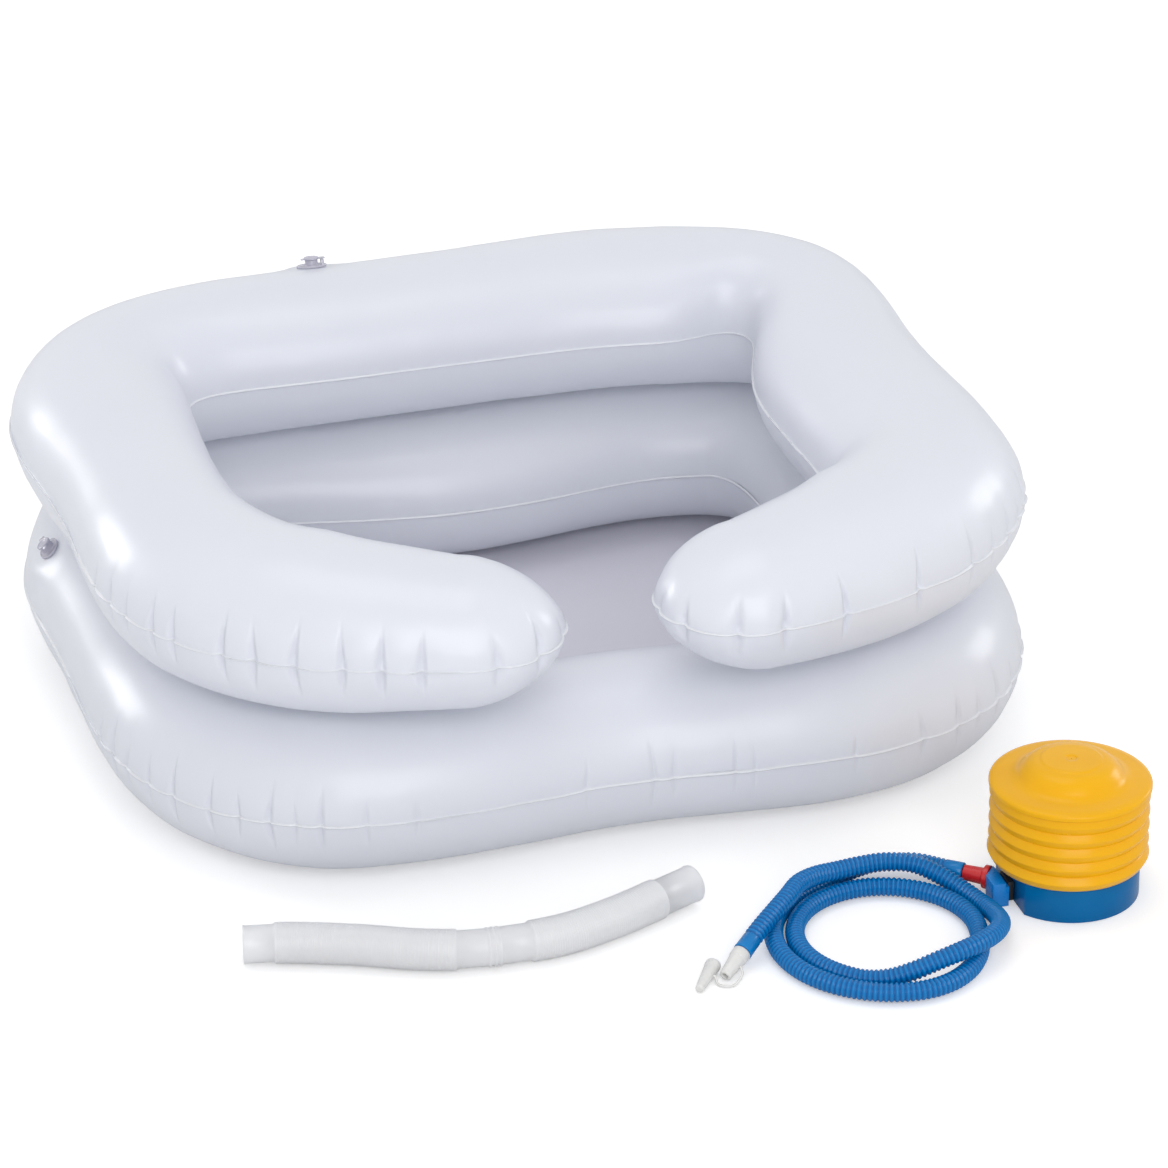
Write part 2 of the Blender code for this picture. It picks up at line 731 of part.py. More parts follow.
def base_ring(radius, flat, z, round_all=False):
    """A ring of the base: a circle with one flat side toward -X, or the whole circle at the same places."""
    corner = math.acos(BASE_FLAT / BASE_RADIUS) if round_all else math.acos(flat / radius)
    ring = []
    for i in range(PUMP_SIDES + 1):
        turn = math.pi + corner + (2 * math.pi - 2 * corner) * i / PUMP_SIDES
        ring.append(Vector((radius * math.cos(turn), radius * math.sin(turn), z)))
    first, last = ring[0], ring[-1]
    for k in range(1, FLAT_STEPS):
        share = k / FLAT_STEPS
        if round_all:
            turn = math.pi - corner + 2 * corner * share
            ring.append(Vector((radius * math.cos(turn), radius * math.sin(turn), z)))
        else:
            ring.append(last.lerp(first, share))
    return ring


def pump_frame(z=0):
    return Matrix.Translation((PUMP_X, PUMP_Y, z))


def pump_base(material):
    """The blue base: an open cup with one flat side for the outlet, and a round shelf at its top."""
    inner = BASE_RADIUS - BASE_WALL
    inner_flat = BASE_FLAT - BASE_WALL
    rings = [
        base_ring(BASE_RADIUS - BASE_CHAMFER, BASE_FLAT - BASE_CHAMFER, 0),
        base_ring(BASE_RADIUS, BASE_FLAT, BASE_CHAMFER),
        base_ring(BASE_RADIUS, BASE_FLAT, BASE_HEIGHT - BASE_SHELF),
        base_ring(BASE_RADIUS, BASE_FLAT, BASE_HEIGHT - BASE_SHELF / 2, True),
        base_ring(BASE_RADIUS, BASE_FLAT, BASE_HEIGHT, True),
        base_ring(inner, inner_flat, BASE_HEIGHT),
        base_ring(inner, inner_flat, BASE_WALL),
    ]
    bm = bmesh.new()
    stack_rings(bm, rings)
    base = add_object("pump_base", bm, material, pump_frame())
    outlet = Vector((PUMP_X - BASE_FLAT - OVERRUN, PUMP_Y + OUTLET_Y, OUTLET_Z))
    cut(base, port_cutter("outlet_hole_cutter", outlet, PORT_RADIUS, BASE_WALL + 2 * OVERRUN))
    inlet = Vector((PUMP_X + inner - OVERRUN, PUMP_Y, INLET_Z))
    cut(base, port_cutter("inlet_hole_cutter", inlet, PORT_RADIUS, BASE_WALL + 2 * OVERRUN))


def port_cutter(name, start, radius, length):
    """A round cutter along +X."""
    profile = [(radius, 0), (radius, length)]
    return turned(name, profile, ROUND_SIDES, None, along(start, Vector((1, 0, 0))))


def pump_bellows(material):
    outer = [(BELLOWS_LIP, 0), (BELLOWS_VALLEY, 0)]
    inner = [(BELLOWS_LIP, BELLOWS_WALL), (BELLOWS_VALLEY - BELLOWS_WALL, BELLOWS_WALL)]
    for k in range(BELLOWS_PLEATS):
        swell = BELLOWS_FOOT_SWELL if k == 0 else 0
        crest = BELLOWS_CREST + swell
        middle = (k + 0.5) * BELLOWS_PITCH
        outer.append((crest, middle))
        inner.append((crest - BELLOWS_WALL, middle))
        if k < BELLOWS_PLEATS - 1:
            outer.append((BELLOWS_VALLEY, (k + 1) * BELLOWS_PITCH))
            inner.append((BELLOWS_VALLEY - BELLOWS_WALL, (k + 1) * BELLOWS_PITCH))
    height = BELLOWS_PLEATS * BELLOWS_PITCH
    outer.append((PLATE_EDGE_RADIUS, height))
    inner.append((PLATE_EDGE_RADIUS - 2 * BELLOWS_WALL, height))
    frame = pump_frame(BELLOWS_FOOT_Z)
    turned("pump_bellows", outer + inner[::-1], PUMP_SIDES, material, frame, True)


def pump_top_plate(material):
    """The yellow plate the foot presses: a round edge, a flat shoulder and a low dome, hollow below."""
    profile = [
        (PLATE_EDGE_RADIUS, 0),
        (PLATE_RADIUS, PLATE_EDGE_HEIGHT),
        (PLATE_SHOULDER_RADIUS, PLATE_SHOULDER_HEIGHT),
        (DOME_FOOT_RADIUS, DOME_FOOT_HEIGHT),
        (DOME_TOP_RADIUS, DOME_TOP_HEIGHT),
    ]
    hollow = [
        (DOME_TOP_RADIUS - PLATE_WALL, DOME_TOP_HEIGHT - PLATE_WALL),
        (DOME_FOOT_RADIUS - PLATE_WALL, DOME_FOOT_HEIGHT - PLATE_WALL),
        (PLATE_SHOULDER_RADIUS - PLATE_WALL, PLATE_SHOULDER_HEIGHT - PLATE_WALL),
        (PLATE_EDGE_RADIUS - PLATE_WALL, 0),
    ]
    top = [circle(r, z, PUMP_SIDES) for r, z in profile]
    under = [circle(r, z, PUMP_SIDES) for r, z in reversed(hollow)]
    bm = bmesh.new()
    stack_rings(bm, top[::-1] + under)
    return add_object("pump_top_plate", bm, material, pump_frame(PLATE_Z))


def outlet_gasket(material):
    bm = bmesh.new()
    y = PUMP_Y + OUTLET_Y
    rings = box_rings(
        GASKET_RIGHT - GASKET_LENGTH,
        GASKET_RIGHT,
        y - GASKET_HALF_WIDTH,
        y + GASKET_HALF_WIDTH,
        GASKET_FOOT,
        GASKET_HEIGHT,
    )
    stack_rings(bm, rings)
    gasket = add_object("pump_gasket", bm, material)
    start = Vector((GASKET_RIGHT - GASKET_LENGTH - OVERRUN, y, OUTLET_Z))
    cut(gasket, port_cutter("gasket_hole_cutter", start, PORT_RADIUS, GASKET_LENGTH + 2 * OVERRUN))


def slant_y(width):
    """How far back the block's slanted face runs over a width, so that it is square to the connector."""
    return -width * CONNECTOR_AXIS.x / CONNECTOR_AXIS.y


def block_ring(right, z):
    left = BLOCK_RIGHT - BLOCK_WIDTH
    front = PUMP_Y - BLOCK_FRONT
    corner = front + BLOCK_DEPTH - slant_y(BLOCK_WIDTH)
    points = (
        (left, front),
        (right, front),
        (right, corner + slant_y(right - left)),
        (left, corner),
    )
    return [Vector((x, y, z)) for x, y in points]


def slant_middle():
    """The middle of the block's slanted face, where the connector seats."""
    ring = block_ring(BLOCK_RIGHT, CONNECTOR_Z)
    return ring[2].lerp(ring[3], 0.5)


def outlet_block(material):
    """The stepped blue block that turns the outlet toward the hose."""
    bm = bmesh.new()
    stack_rings(bm, [block_ring(BLOCK_RIGHT, 0), block_ring(BLOCK_RIGHT, BLOCK_HEIGHT)])
    block = add_object("pump_outlet_block", bm, material)
    front = PUMP_Y - BLOCK_FRONT
    step = bmesh.new()
    rings = box_rings(
        BLOCK_RIGHT - BLOCK_STEP,
        BLOCK_RIGHT + OVERRUN,
        front - OVERRUN,
        front + BLOCK_DEPTH + OVERRUN,
        BLOCK_STEP_Z,
        BLOCK_HEIGHT + OVERRUN,
    )
    stack_rings(step, rings)
    cut(block, add_object("block_step_cutter", step, None))
    start = Vector((BLOCK_RIGHT - CHAMBER_DEPTH, PUMP_Y + OUTLET_Y, OUTLET_Z))
    cut(block, port_cutter("block_chamber_cutter", start, CHAMBER_RADIUS, CHAMBER_DEPTH + OVERRUN))
    depth = CONNECTOR_SPIGOT_LENGTH + CLEARANCE
    begin = slant_middle() - CONNECTOR_AXIS * depth
    radius = CONNECTOR_SPIGOT_RADIUS + CLEARANCE
    socket = turned(
        "block_port_cutter",
        [(radius, 0), (radius, depth + OVERRUN)],
        ROUND_SIDES,
        None,
        along(begin, CONNECTOR_AXIS),
    )
    cut(block, socket)


def port_flap(name, radius, top, material):
    """A check flap: a disc that hangs from its top edge, across the X axis."""
    bm = bmesh.new()
    half = PORT_FLAP_THICKNESS / 2
    rings = [[Vector((x, p.x, p.y - radius)) for p in circle(radius, 0, ROUND_SIDES)] for x in (-half, half)]
    stack_rings(bm, rings)
    add_object(name, bm, material, Matrix.Translation(top))


def port_flaps(material):
    half = PORT_FLAP_THICKNESS / 2
    outlet_x = BLOCK_RIGHT - half
    outlet = Vector((outlet_x, PUMP_Y + OUTLET_Y, OUTLET_Z + PORT_FLAP_RADIUS))
    port_flap("pump_outlet_flap", PORT_FLAP_RADIUS, outlet, material)
    inner = BASE_RADIUS - BASE_WALL
    reach = math.sqrt(inner * inner - INLET_FLAP_RADIUS * INLET_FLAP_RADIUS)
    inlet = Vector((PUMP_X + reach - CLEARANCE - half, PUMP_Y, INLET_Z + INLET_FLAP_RADIUS))
    port_flap("pump_inlet_flap", INLET_FLAP_RADIUS, inlet, material)


def hose_connector(material):
    """The red connector: a spigot in the block, a round flange, and a tube that ends in the hose's barb."""
    tube_end = CONNECTOR_TUBE_LENGTH
    flange_end = CLEARANCE + CONNECTOR_FLANGE_THICKNESS
    barb = HOSE_BORE * math.cos(math.pi / HOSE_SIDES) - CLEARANCE
    profile = [
        (CONNECTOR_BORE, -CONNECTOR_SPIGOT_LENGTH),
        (CONNECTOR_SPIGOT_RADIUS, -CONNECTOR_SPIGOT_LENGTH),
        (CONNECTOR_SPIGOT_RADIUS, CLEARANCE),
        (CONNECTOR_FLANGE_RADIUS, CLEARANCE),
        (CONNECTOR_FLANGE_RADIUS, flange_end),
        (CONNECTOR_TUBE_RADIUS, flange_end),
        (CONNECTOR_TUBE_RADIUS, tube_end),
        (barb, tube_end),
        (barb, tube_end + CONNECTOR_BARB_LENGTH),
        (CONNECTOR_BORE, tube_end + CONNECTOR_BARB_LENGTH),
    ]
    frame = along(slant_middle(), CONNECTOR_AXIS)
    turned("hose_connector", profile, ROUND_SIDES, material, frame, True)


# Pump hose


def smooth(value, low, high):
    share = min(1, max(0, (value - low) / (high - low)))
    return share * share * (3 - 2 * share)


def coil_point(turn):
    """A point of the coil, at a turn in degrees round its middle."""
    outward = 1 - smooth(turn, *TO_OUTER_TRACK) - smooth(turn, *TO_INNER_TRACK)
    outward += smooth(turn, *BACK_TO_OUTER_TRACK) - smooth(turn, *TO_GROOVE) / 2
    crossing = smooth(turn, *CROSSING_RISE) - smooth(turn, *CROSSING_FALL)
    ridden = GROOVE_SHARE + (OVER_SHARE - GROOVE_SHARE) * smooth(turn, *OVER_RISE)
    raised = max(crossing, smooth(turn, *GROOVE_RISE) * ridden)
    rest = HOSE_RADIUS + CLEARANCE
    height = rest + STRAND_STEP * raised
    height += (CONNECTOR_Z - rest) * (1 - smooth(turn, *DOWN_TO_GROUND))
    radius = COIL_RADIUS + STRAND_STEP * outward
    angle = math.radians(turn)
    x = PUMP_X + COIL_FROM_PUMP_X + radius * math.cos(angle)
    y = PUMP_Y + COIL_FROM_PUMP_Y + radius * math.sin(angle)
    return Vector((x, y, height))


def hose_end():
    """The middle of the hose's free end, and the way it points there."""
    place = Vector((HOSE_END_X, HOSE_END_Y, HOSE_END_Z))
    flat = math.cos(HOSE_END_DIP)
    x = flat * math.cos(HOSE_END_HEADING)
    y = flat * math.sin(HOSE_END_HEADING)
    return place, Vector((x, y, math.sin(HOSE_END_DIP)))


def hose_line():
    """The middle line of the hose, from the connector to the nozzle."""
    start = slant_middle() + CONNECTOR_AXIS * (CONNECTOR_TUBE_LENGTH + CLEARANCE)
    straight = 2 * HOSE_RADIUS
    first, last = COIL_SPAN
    count = round((last - first) / COIL_STEP)
    turns = [first + (last - first) * k / count for k in range(count + 1)]
    coil = curve_through([coil_point(turn) for turn in turns], COIL_CURVE_STEPS)
    entry = (coil[1] - coil[0]).normalized()
    leave = (coil[-1] - coil[-2]).normalized()
    run = start + CONNECTOR_AXIS * straight
    pull = (coil[0] - run).length
    lead_in = hermite(run, CONNECTOR_AXIS * pull, coil[0], entry * pull, LEAD_IN_STEPS)
    end, heading = hose_end()
    before_end = end - heading * straight
    pull = (before_end - coil[-1]).length
    lead_out = hermite(coil[-1], leave * pull, before_end, heading * pull, LEAD_OUT_STEPS)
    return [start] + lead_in + coil[1:] + lead_out[1:] + [end]


def least_gap(points, skip):
    """The least gap of the tube to itself, measured between points that lie apart along it."""
    least = None
    for i, a in enumerate(points):
        for b in points[i + skip :]:
            gap = (a - b).length - 2 * HOSE_RADIUS
            least = gap if least is None else min(least, gap)
    return least


def pump_hose(material):
    line = hose_line()
    lengths = lengths_along(line)
    total = lengths[-1]
    cuff = 2 * HOSE_RADIUS
    pitch = (total - 2 * cuff) / HOSE_RIBS
    valley = HOSE_RADIUS - HOSE_VALLEY
    places = [(0, HOSE_RADIUS), (cuff, valley)]
    for k in range(HOSE_RIBS):
        places.append((cuff + (k + 0.5) * pitch, HOSE_RADIUS))
        places.append((cuff + (k + 1) * pitch, valley))
    places.append((total, HOSE_RADIUS))
    points = [point_at(line, lengths, place) for place, _ in places]
    radii = [radius for _, radius in places]
    hollow_tube("pump_hose", points, radii, HOSE_BORE, BORE_EVERY, HOSE_SIDES, material)
    apart = math.ceil(NEAR_DIAMETERS * cuff / pitch)
    print("pump hose length", round(total, 4), "rib pitch", round(pitch, 5))
    print("pump hose least gap to itself", round(least_gap(points, apart), 5))


def nozzle(material):
    """The nozzle: a barb in the hose's end, a collar and a tapered tip, with a bore right through."""
    place, heading = hose_end()
    barb = HOSE_BORE * math.cos(math.pi / HOSE_SIDES) - CLEARANCE
    profile = [
        (NOZZLE_BORE, -NOZZLE_BARB_LENGTH),
        (barb, -NOZZLE_BARB_LENGTH),
        (barb, CLEARANCE),
        (NOZZLE_COLLAR_RADIUS, CLEARANCE),
        (NOZZLE_COLLAR_RADIUS, NOZZLE_COLLAR_LENGTH),
        (NOZZLE_TIP_RADIUS, NOZZLE_LENGTH),
        (NOZZLE_BORE, NOZZLE_LENGTH),
    ]
    turned("pump_nozzle", profile, ROUND_SIDES, material, along(place, heading), True)


def cap_line():
    """The cap's wide end and its heading: it lies on the ground along its side."""
    slope = math.atan((CAP_WIDE_RADIUS - CAP_NARROW_RADIUS) / CAP_LENGTH)
    flat = math.cos(slope)
    heading = Vector((flat * math.cos(CAP_HEADING), flat * math.sin(CAP_HEADING), -math.sin(slope)))
    start = Vector((CAP_X, CAP_Y, CAP_WIDE_RADIUS / flat + CLEARANCE))
    return start, heading


def nozzle_cap(material):
    """The tapered cap, open at its wide end, which the photograph shows taken off the nozzle."""
    start, heading = cap_line()
    bore = CAP_WIDE_RADIUS - CAP_WALL
    profile = [
        (CAP_NARROW_RADIUS, CAP_LENGTH),
        (CAP_WIDE_RADIUS, 0),
        (bore, 0),
        (bore - CAP_BORE_TAPER, CAP_BORE_DEPTH),
    ]
    turned("nozzle_cap", profile, ROUND_SIDES, material, along(start, heading))


def cap_tether(material):
    """The thin tether from the cap's side to the nozzle's side, sagging to the ground."""
    cap_start, cap_heading = cap_line()
    place, heading = hose_end()
    cap_side = -cap_heading.cross(Vector((0, 0, 1))).normalized()
    nozzle_side = -heading.cross(Vector((0, 0, 1))).normalized()
    taper = (CAP_WIDE_RADIUS - CAP_NARROW_RADIUS) * TETHER_ON_CAP / CAP_LENGTH
    cap_reach = CAP_WIDE_RADIUS - taper + CLEARANCE
    share = (TETHER_ON_NOZZLE - NOZZLE_COLLAR_LENGTH) / (NOZZLE_LENGTH - NOZZLE_COLLAR_LENGTH)
    nozzle_radius = NOZZLE_COLLAR_RADIUS + (NOZZLE_TIP_RADIUS - NOZZLE_COLLAR_RADIUS) * share
    nozzle_reach = nozzle_radius + CLEARANCE
    first = cap_start + cap_heading * TETHER_ON_CAP + cap_side * cap_reach
    last = place + heading * TETHER_ON_NOZZLE + nozzle_side * nozzle_reach
    route = [Vector(point) for point in TETHER_ROUTE]
    stops = [first, first + cap_side * TETHER_STUB, *route, last + nozzle_side * TETHER_STUB, last]
    line = curve_through(stops, TETHER_STEPS)
    frames = tube_frames(line)
    bm = bmesh.new()
    stack_rings(bm, [tube_ring(f, TETHER_RADIUS, TETHER_SIDES) for f in frames])
    add_object("cap_tether", bm, material)


def basin():
    pearl = principled("pearl film", (0.86, 0.86, 0.90), 0.30)
    grey = principled("grey floor film", (0.62, 0.62, 0.67), 0.45)
    clear_film = principled("clear vinyl", (0.78, 0.80, 0.84), 0.15)
    flap_film = principled("flap vinyl", (0.80, 0.80, 0.82), 0.40)
    fitting = principled("drain plastic", (0.80, 0.80, 0.82), 0.40)
    ring = ring_stations()
    arms = arm_stations()
    lower_top = film_sheet("lower_chamber_top_sheet", ring, LOWER_TUBE_WIDTH, LOWER_SEAM_Z, 1, True, pearl)
    film_sheet("lower_chamber_bottom_sheet", ring, LOWER_TUBE_WIDTH, LOWER_SEAM_Z, -1, True, pearl)
    upper_top = film_sheet("upper_chamber_top_sheet", arms, UPPER_TUBE_WIDTH, UPPER_SEAM_Z, 1, False, pearl)
    film_sheet("upper_chamber_bottom_sheet", arms, UPPER_TUBE_WIDTH, UPPER_SEAM_Z, -1, False, pearl)
    basin_floor(grey)
    upper_section = station(UPPER_OUTLINE, UPPER_TUBE_WIDTH, UPPER_VALVE_ANGLE)
    upper_half = UPPER_TUBE_WIDTH / 2
    upper_place = film_point(upper_section, upper_half, UPPER_SEAM_Z, DOME_RISE, UPPER_VALVE_SHARE)
    inflation_valve("upper", upper_top, upper_place, Vector((1, 0, 0)), clear_film, flap_film)
    lower_section = station(LOWER_OUTLINE, LOWER_TUBE_WIDTH, LOWER_VALVE_ANGLE)
    lower_half = LOWER_TUBE_WIDTH / 2
    lower_place = film_point(lower_section, lower_half, LOWER_SEAM_Z, DOME_RISE, LOWER_VALVE_SHARE)
    inflation_valve("lower", lower_top, lower_place, Vector((0, 1, 0)), clear_film, flap_film)
    drain(fitting, fitting)


def pump():
    yellow = principled("yellow bellows plastic", (0.88, 0.48, 0.02), 0.30)
    blue = principled("blue base plastic", (0.00, 0.13, 0.33), 0.35)
    bright_blue = principled("bright blue plastic", (0.02, 0.12, 0.42), 0.35)
    black = principled("black rubber", (0.01, 0.01, 0.01), 0.60)
    red = principled("red plastic", (0.55, 0.01, 0.02), 0.30)
    flap_rubber = principled("flap rubber", (0.05, 0.05, 0.05), 0.60)
    hose_blue = principled("blue hose vinyl", (0.00, 0.11, 0.42), 0.20)
    milky = principled("milky plastic", (0.80, 0.80, 0.80), 0.35)
    pump_base(blue)
    pump_bellows(yellow)
    pump_top_plate(yellow)
    outlet_gasket(black)
    outlet_block(bright_blue)
    port_flaps(flap_rubber)
    hose_connector(red)
    pump_hose(hose_blue)
    nozzle(milky)
    nozzle_cap(milky)
    cap_tether(milky)


clear_scene()
basin()
drain_hose(principled("milky hose vinyl", (0.82, 0.84, 0.86), 0.35))
pump()
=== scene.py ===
import json
import math

import bmesh
import bpy
import numpy as np
from mathutils import Matrix, Vector
from mathutils.noise import noise


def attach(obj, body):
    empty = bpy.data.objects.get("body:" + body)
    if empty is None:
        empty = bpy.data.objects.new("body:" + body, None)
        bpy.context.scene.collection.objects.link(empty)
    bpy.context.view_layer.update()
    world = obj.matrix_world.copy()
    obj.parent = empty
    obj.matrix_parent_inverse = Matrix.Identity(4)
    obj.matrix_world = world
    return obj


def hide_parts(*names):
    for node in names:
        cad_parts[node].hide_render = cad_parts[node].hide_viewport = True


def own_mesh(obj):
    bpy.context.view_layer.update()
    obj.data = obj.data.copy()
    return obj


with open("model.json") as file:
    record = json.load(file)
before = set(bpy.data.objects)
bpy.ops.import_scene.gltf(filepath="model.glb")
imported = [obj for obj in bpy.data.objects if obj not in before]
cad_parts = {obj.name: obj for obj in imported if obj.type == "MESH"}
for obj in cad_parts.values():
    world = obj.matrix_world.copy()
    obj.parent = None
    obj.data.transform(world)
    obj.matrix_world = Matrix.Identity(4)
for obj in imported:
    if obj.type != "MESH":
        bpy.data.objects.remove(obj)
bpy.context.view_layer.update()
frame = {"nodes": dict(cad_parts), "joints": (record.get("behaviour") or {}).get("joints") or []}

# The stage: a white studio floor under a soft sky, a large soft lamp at the front, a weak one above,
# and low ones behind at the left and the right that give the film its highlights. The camera stands
# where the photograph's did, at the front and a little to the left.

SCENE = bpy.context.scene
SCENE.view_settings.view_transform = "Standard"
CAMERA_PLACE = Vector((-0.6438, -2.4702, 1.3187))
CAMERA_AZIMUTH = -0.270991
CAMERA_ELEVATION = 0.458764
CAMERA_ROLL = -0.012367
SENSOR_WIDTH = 36.0
FOCAL_PIXELS = 4500
IMAGE_PIXELS = 1168
LAMP_AIM = Vector((0.0, 0.0, 0.10))
SKY_STRENGTH = 0.67
STUDIO_SIZE = 14.0
STUDIO_DEPTH = 0.0003
FLOOR_GLOW = 0.30

camera = bpy.data.objects.new("camera", bpy.data.cameras.new("camera"))
SCENE.collection.objects.link(camera)
camera.data.sensor_width = SENSOR_WIDTH
camera.data.lens = FOCAL_PIXELS / IMAGE_PIXELS * SENSOR_WIDTH
camera_turn = Matrix.Rotation(CAMERA_AZIMUTH, 4, "Z")
camera_turn @= Matrix.Rotation(math.pi / 2 - CAMERA_ELEVATION, 4, "X")
camera_turn @= Matrix.Rotation(CAMERA_ROLL, 4, "Z")
camera.matrix_world = Matrix.Translation(CAMERA_PLACE) @ camera_turn
SCENE.camera = camera


class Socket:
    """A socket of a node tree, with the operators that shader maths needs."""

    def __init__(self, tree, link):
        self.tree = tree
        self.link = link

    def node(self, kind, settings, values, out=0):
        made = self.tree.nodes.new(kind)
        for name, value in settings.items():
            setattr(made, name, value)
        for name, value in values.items():
            socket = made.inputs[name]
            if isinstance(value, Socket):
                self.tree.links.new(value.link, socket)
            else:
                socket.default_value = value
        return Socket(self.tree, made.outputs[out])

    def maths(self, operation, first, second):
        return self.node("ShaderNodeMath", {"operation": operation}, {0: first, 1: second})

    def __add__(self, other):
        return self.maths("ADD", self, other)

    def __sub__(self, other):
        return self.maths("SUBTRACT", self, other)

    def __mul__(self, other):
        return self.maths("MULTIPLY", self, other)

    def clamped(self):
        return self.maths("MINIMUM", self.maths("MAXIMUM", self, 0.0), 1.0)

    def colours(self, first, second):
        """The first colour where this value is 0, and the second where it is 1."""
        return self.node("ShaderNodeMix", {"data_type": "RGBA"}, {0: self, 6: first, 7: second}, 2)

    def noise(self, scale, detail=2.0):
        return self.node("ShaderNodeTexNoise", {}, {"Vector": self, "Scale": scale, "Detail": detail})

    def bumped(self, strength, distance):
        values = {"Height": self, "Strength": strength, "Distance": distance}
        return self.node("ShaderNodeBump", {}, values)


def finish_named(name, **constants):
    """A material with a Principled shader, and the Object coordinates that its patterns read."""
    material = bpy.data.materials.new(name)
    material.use_nodes = True
    tree = material.node_tree
    shader = tree.nodes["Principled BSDF"]
    for socket, value in constants.items():
        shader.inputs[socket.replace("_", " ").title().replace("Ior", "IOR")].default_value = value
    coordinates = tree.nodes.new("ShaderNodeTexCoord")
    return material, shader, Socket(tree, coordinates.outputs["Object"])


def feed(shader, **links):
    """Link worked-out values to a shader's sockets."""
    for socket, value in links.items():
        name = socket.replace("_", " ").title()
        value.tree.links.new(value.link, shader.inputs[name])


for lamp_name, lamp_place, lamp_width, watts in (
    ("left back lamp", (-1.90, 1.85, 0.70), 0.80, 14.0),
    ("right lamp", (2.60, 0.50, 0.90), 0.80, 9.0),
    ("front lamp", (-0.30, -2.90, 1.70), 2.00, 36.0),
    ("top lamp", (-0.20, 0.10, 2.40), 1.40, 8.0),
):
    light = bpy.data.lights.new(lamp_name, "AREA")
    light.size = lamp_width
    light.energy = watts
    lamp = bpy.data.objects.new(lamp_name, light)
    SCENE.collection.objects.link(lamp)
    lamp.location = lamp_place
    lamp.rotation_euler = (LAMP_AIM - lamp.location).to_track_quat("-Z", "Y").to_euler()

world = bpy.data.worlds.new("white studio")
SCENE.world = world
world.use_nodes = True
sky = world.node_tree
light_path = sky.nodes.new("ShaderNodeLightPath")
seen = Socket(sky, light_path.outputs["Is Camera Ray"])
glossy = Socket(sky, light_path.outputs["Is Glossy Ray"])
through = Socket(sky, light_path.outputs["Is Transmission Ray"])
direct = (seen + glossy + through).clamped()
sky_level = direct * (1.0 - SKY_STRENGTH) + SKY_STRENGTH
background = sky.nodes["Background"]
background.inputs["Color"].default_value = (1, 1, 1, 1)
sky.links.new(sky_level.link, background.inputs["Strength"])

bpy.ops.object.select_all(action="DESELECT")
bpy.ops.mesh.primitive_plane_add(size=STUDIO_SIZE, location=(0, 0, -STUDIO_DEPTH))
studio_floor = bpy.context.object
studio_floor.name = "studio_floor"
floor_material, shader, place = finish_named(
    "white studio floor",
    roughness=0.8,
    base_color=(0.86, 0.86, 0.86, 1),
    specular_ior_level=0.0,
    emission_color=(1, 1, 1, 1),
)
floor_path = place.tree.nodes.new("ShaderNodeLightPath")
feed(shader, emission_strength=Socket(place.tree, floor_path.outputs["Is Camera Ray"]) * FLOOR_GLOW)
studio_floor.data.materials.append(floor_material)

# The pump's hose: glossy blue vinyl with close round ribs, about 92 cm long and 11.4 mm thick. It
# leaves the red connector behind the coil and lies in a little over two loops, the last end on top.

HOSE_RADIUS = 0.0057
HOSE_VALLEY = 0.0010
HOSE_RIB_PITCH = 0.0029
HOSE_CUFF = 0.0120
HOSE_BORE = 0.0038
HOSE_SIDES = 20
RIB_STEPS = 6
HEADING_REACH = 0.0015
FITTING_GAP = 0.0003
PUMP_X, PUMP_Y = 0.2305, -0.3618
CONNECTOR_SEAT = Vector((0.185846, -0.354815, 0.0095))
CONNECTOR_TURN = math.radians(140.2)
CONNECTOR_AXIS = Vector((math.cos(CONNECTOR_TURN), math.sin(CONNECTOR_TURN), 0))
CONNECTOR_TUBE = 0.0160
COIL_MIDDLE = (PUMP_X - 0.1204, PUMP_Y - 0.0292)
COIL_RADIUS = 0.0645
STRAND_STEP = 0.0122
GROOVE_SHARE = 0.90
OVER_SHARE = 1.19
HOSE_REST = 0.0060
HOSE_END = Vector((0.0232, -0.3932, 0.00975))
HOSE_END_TURN = math.radians(221.3)
HOSE_END_DIP = math.radians(-17.5)
NOZZLE_AXIS = Vector((
    math.cos(HOSE_END_DIP) * math.cos(HOSE_END_TURN),
    math.cos(HOSE_END_DIP) * math.sin(HOSE_END_TURN),
    math.sin(HOSE_END_DIP),
))

# How far round the coil, in degrees, the hose starts, changes track, and rises over another strand.
COIL_START = 62
COIL_SWEEP = 804
COIL_POINTS = 54
TO_OUTER_TRACK = (66, 114)
TO_INNER_TRACK = (268, 346)
BACK_TO_OUTER_TRACK = (628, 706)
HALF_IN = (772, 818)
CROSSING_RISE = (596, 662)
CROSSING_FALL = (672, 738)
LAST_RISE = (735, 788)
OVER_RISE = (818, 852)
SEAT_FALL = (58, 110)


def eased(value, low, high):
    """0 up to the low value and 1 from the high one, with a smooth rise between them."""
    share = min(1, max(0, (value - low) / (high - low)))
    return share * share * (3 - 2 * share)


def coil_point(turn):
    """A point of the coil at a turn in degrees, on its outer or inner track or lifted over a strand."""
    outward = 1 - eased(turn, *TO_OUTER_TRACK) - eased(turn, *TO_INNER_TRACK)
    outward += eased(turn, *BACK_TO_OUTER_TRACK) - eased(turn, *HALF_IN) / 2
    crossing = eased(turn, *CROSSING_RISE) - eased(turn, *CROSSING_FALL)
    ridden = GROOVE_SHARE + (OVER_SHARE - GROOVE_SHARE) * eased(turn, *OVER_RISE)
    height = HOSE_REST + STRAND_STEP * max(crossing, eased(turn, *LAST_RISE) * ridden)
    height += (CONNECTOR_SEAT.z - HOSE_REST) * (1 - eased(turn, *SEAT_FALL))
    radius = COIL_RADIUS + STRAND_STEP * outward
    x = COIL_MIDDLE[0] + radius * math.cos(math.radians(turn))
    y = COIL_MIDDLE[1] + radius * math.sin(math.radians(turn))
    return Vector((x, y, height))


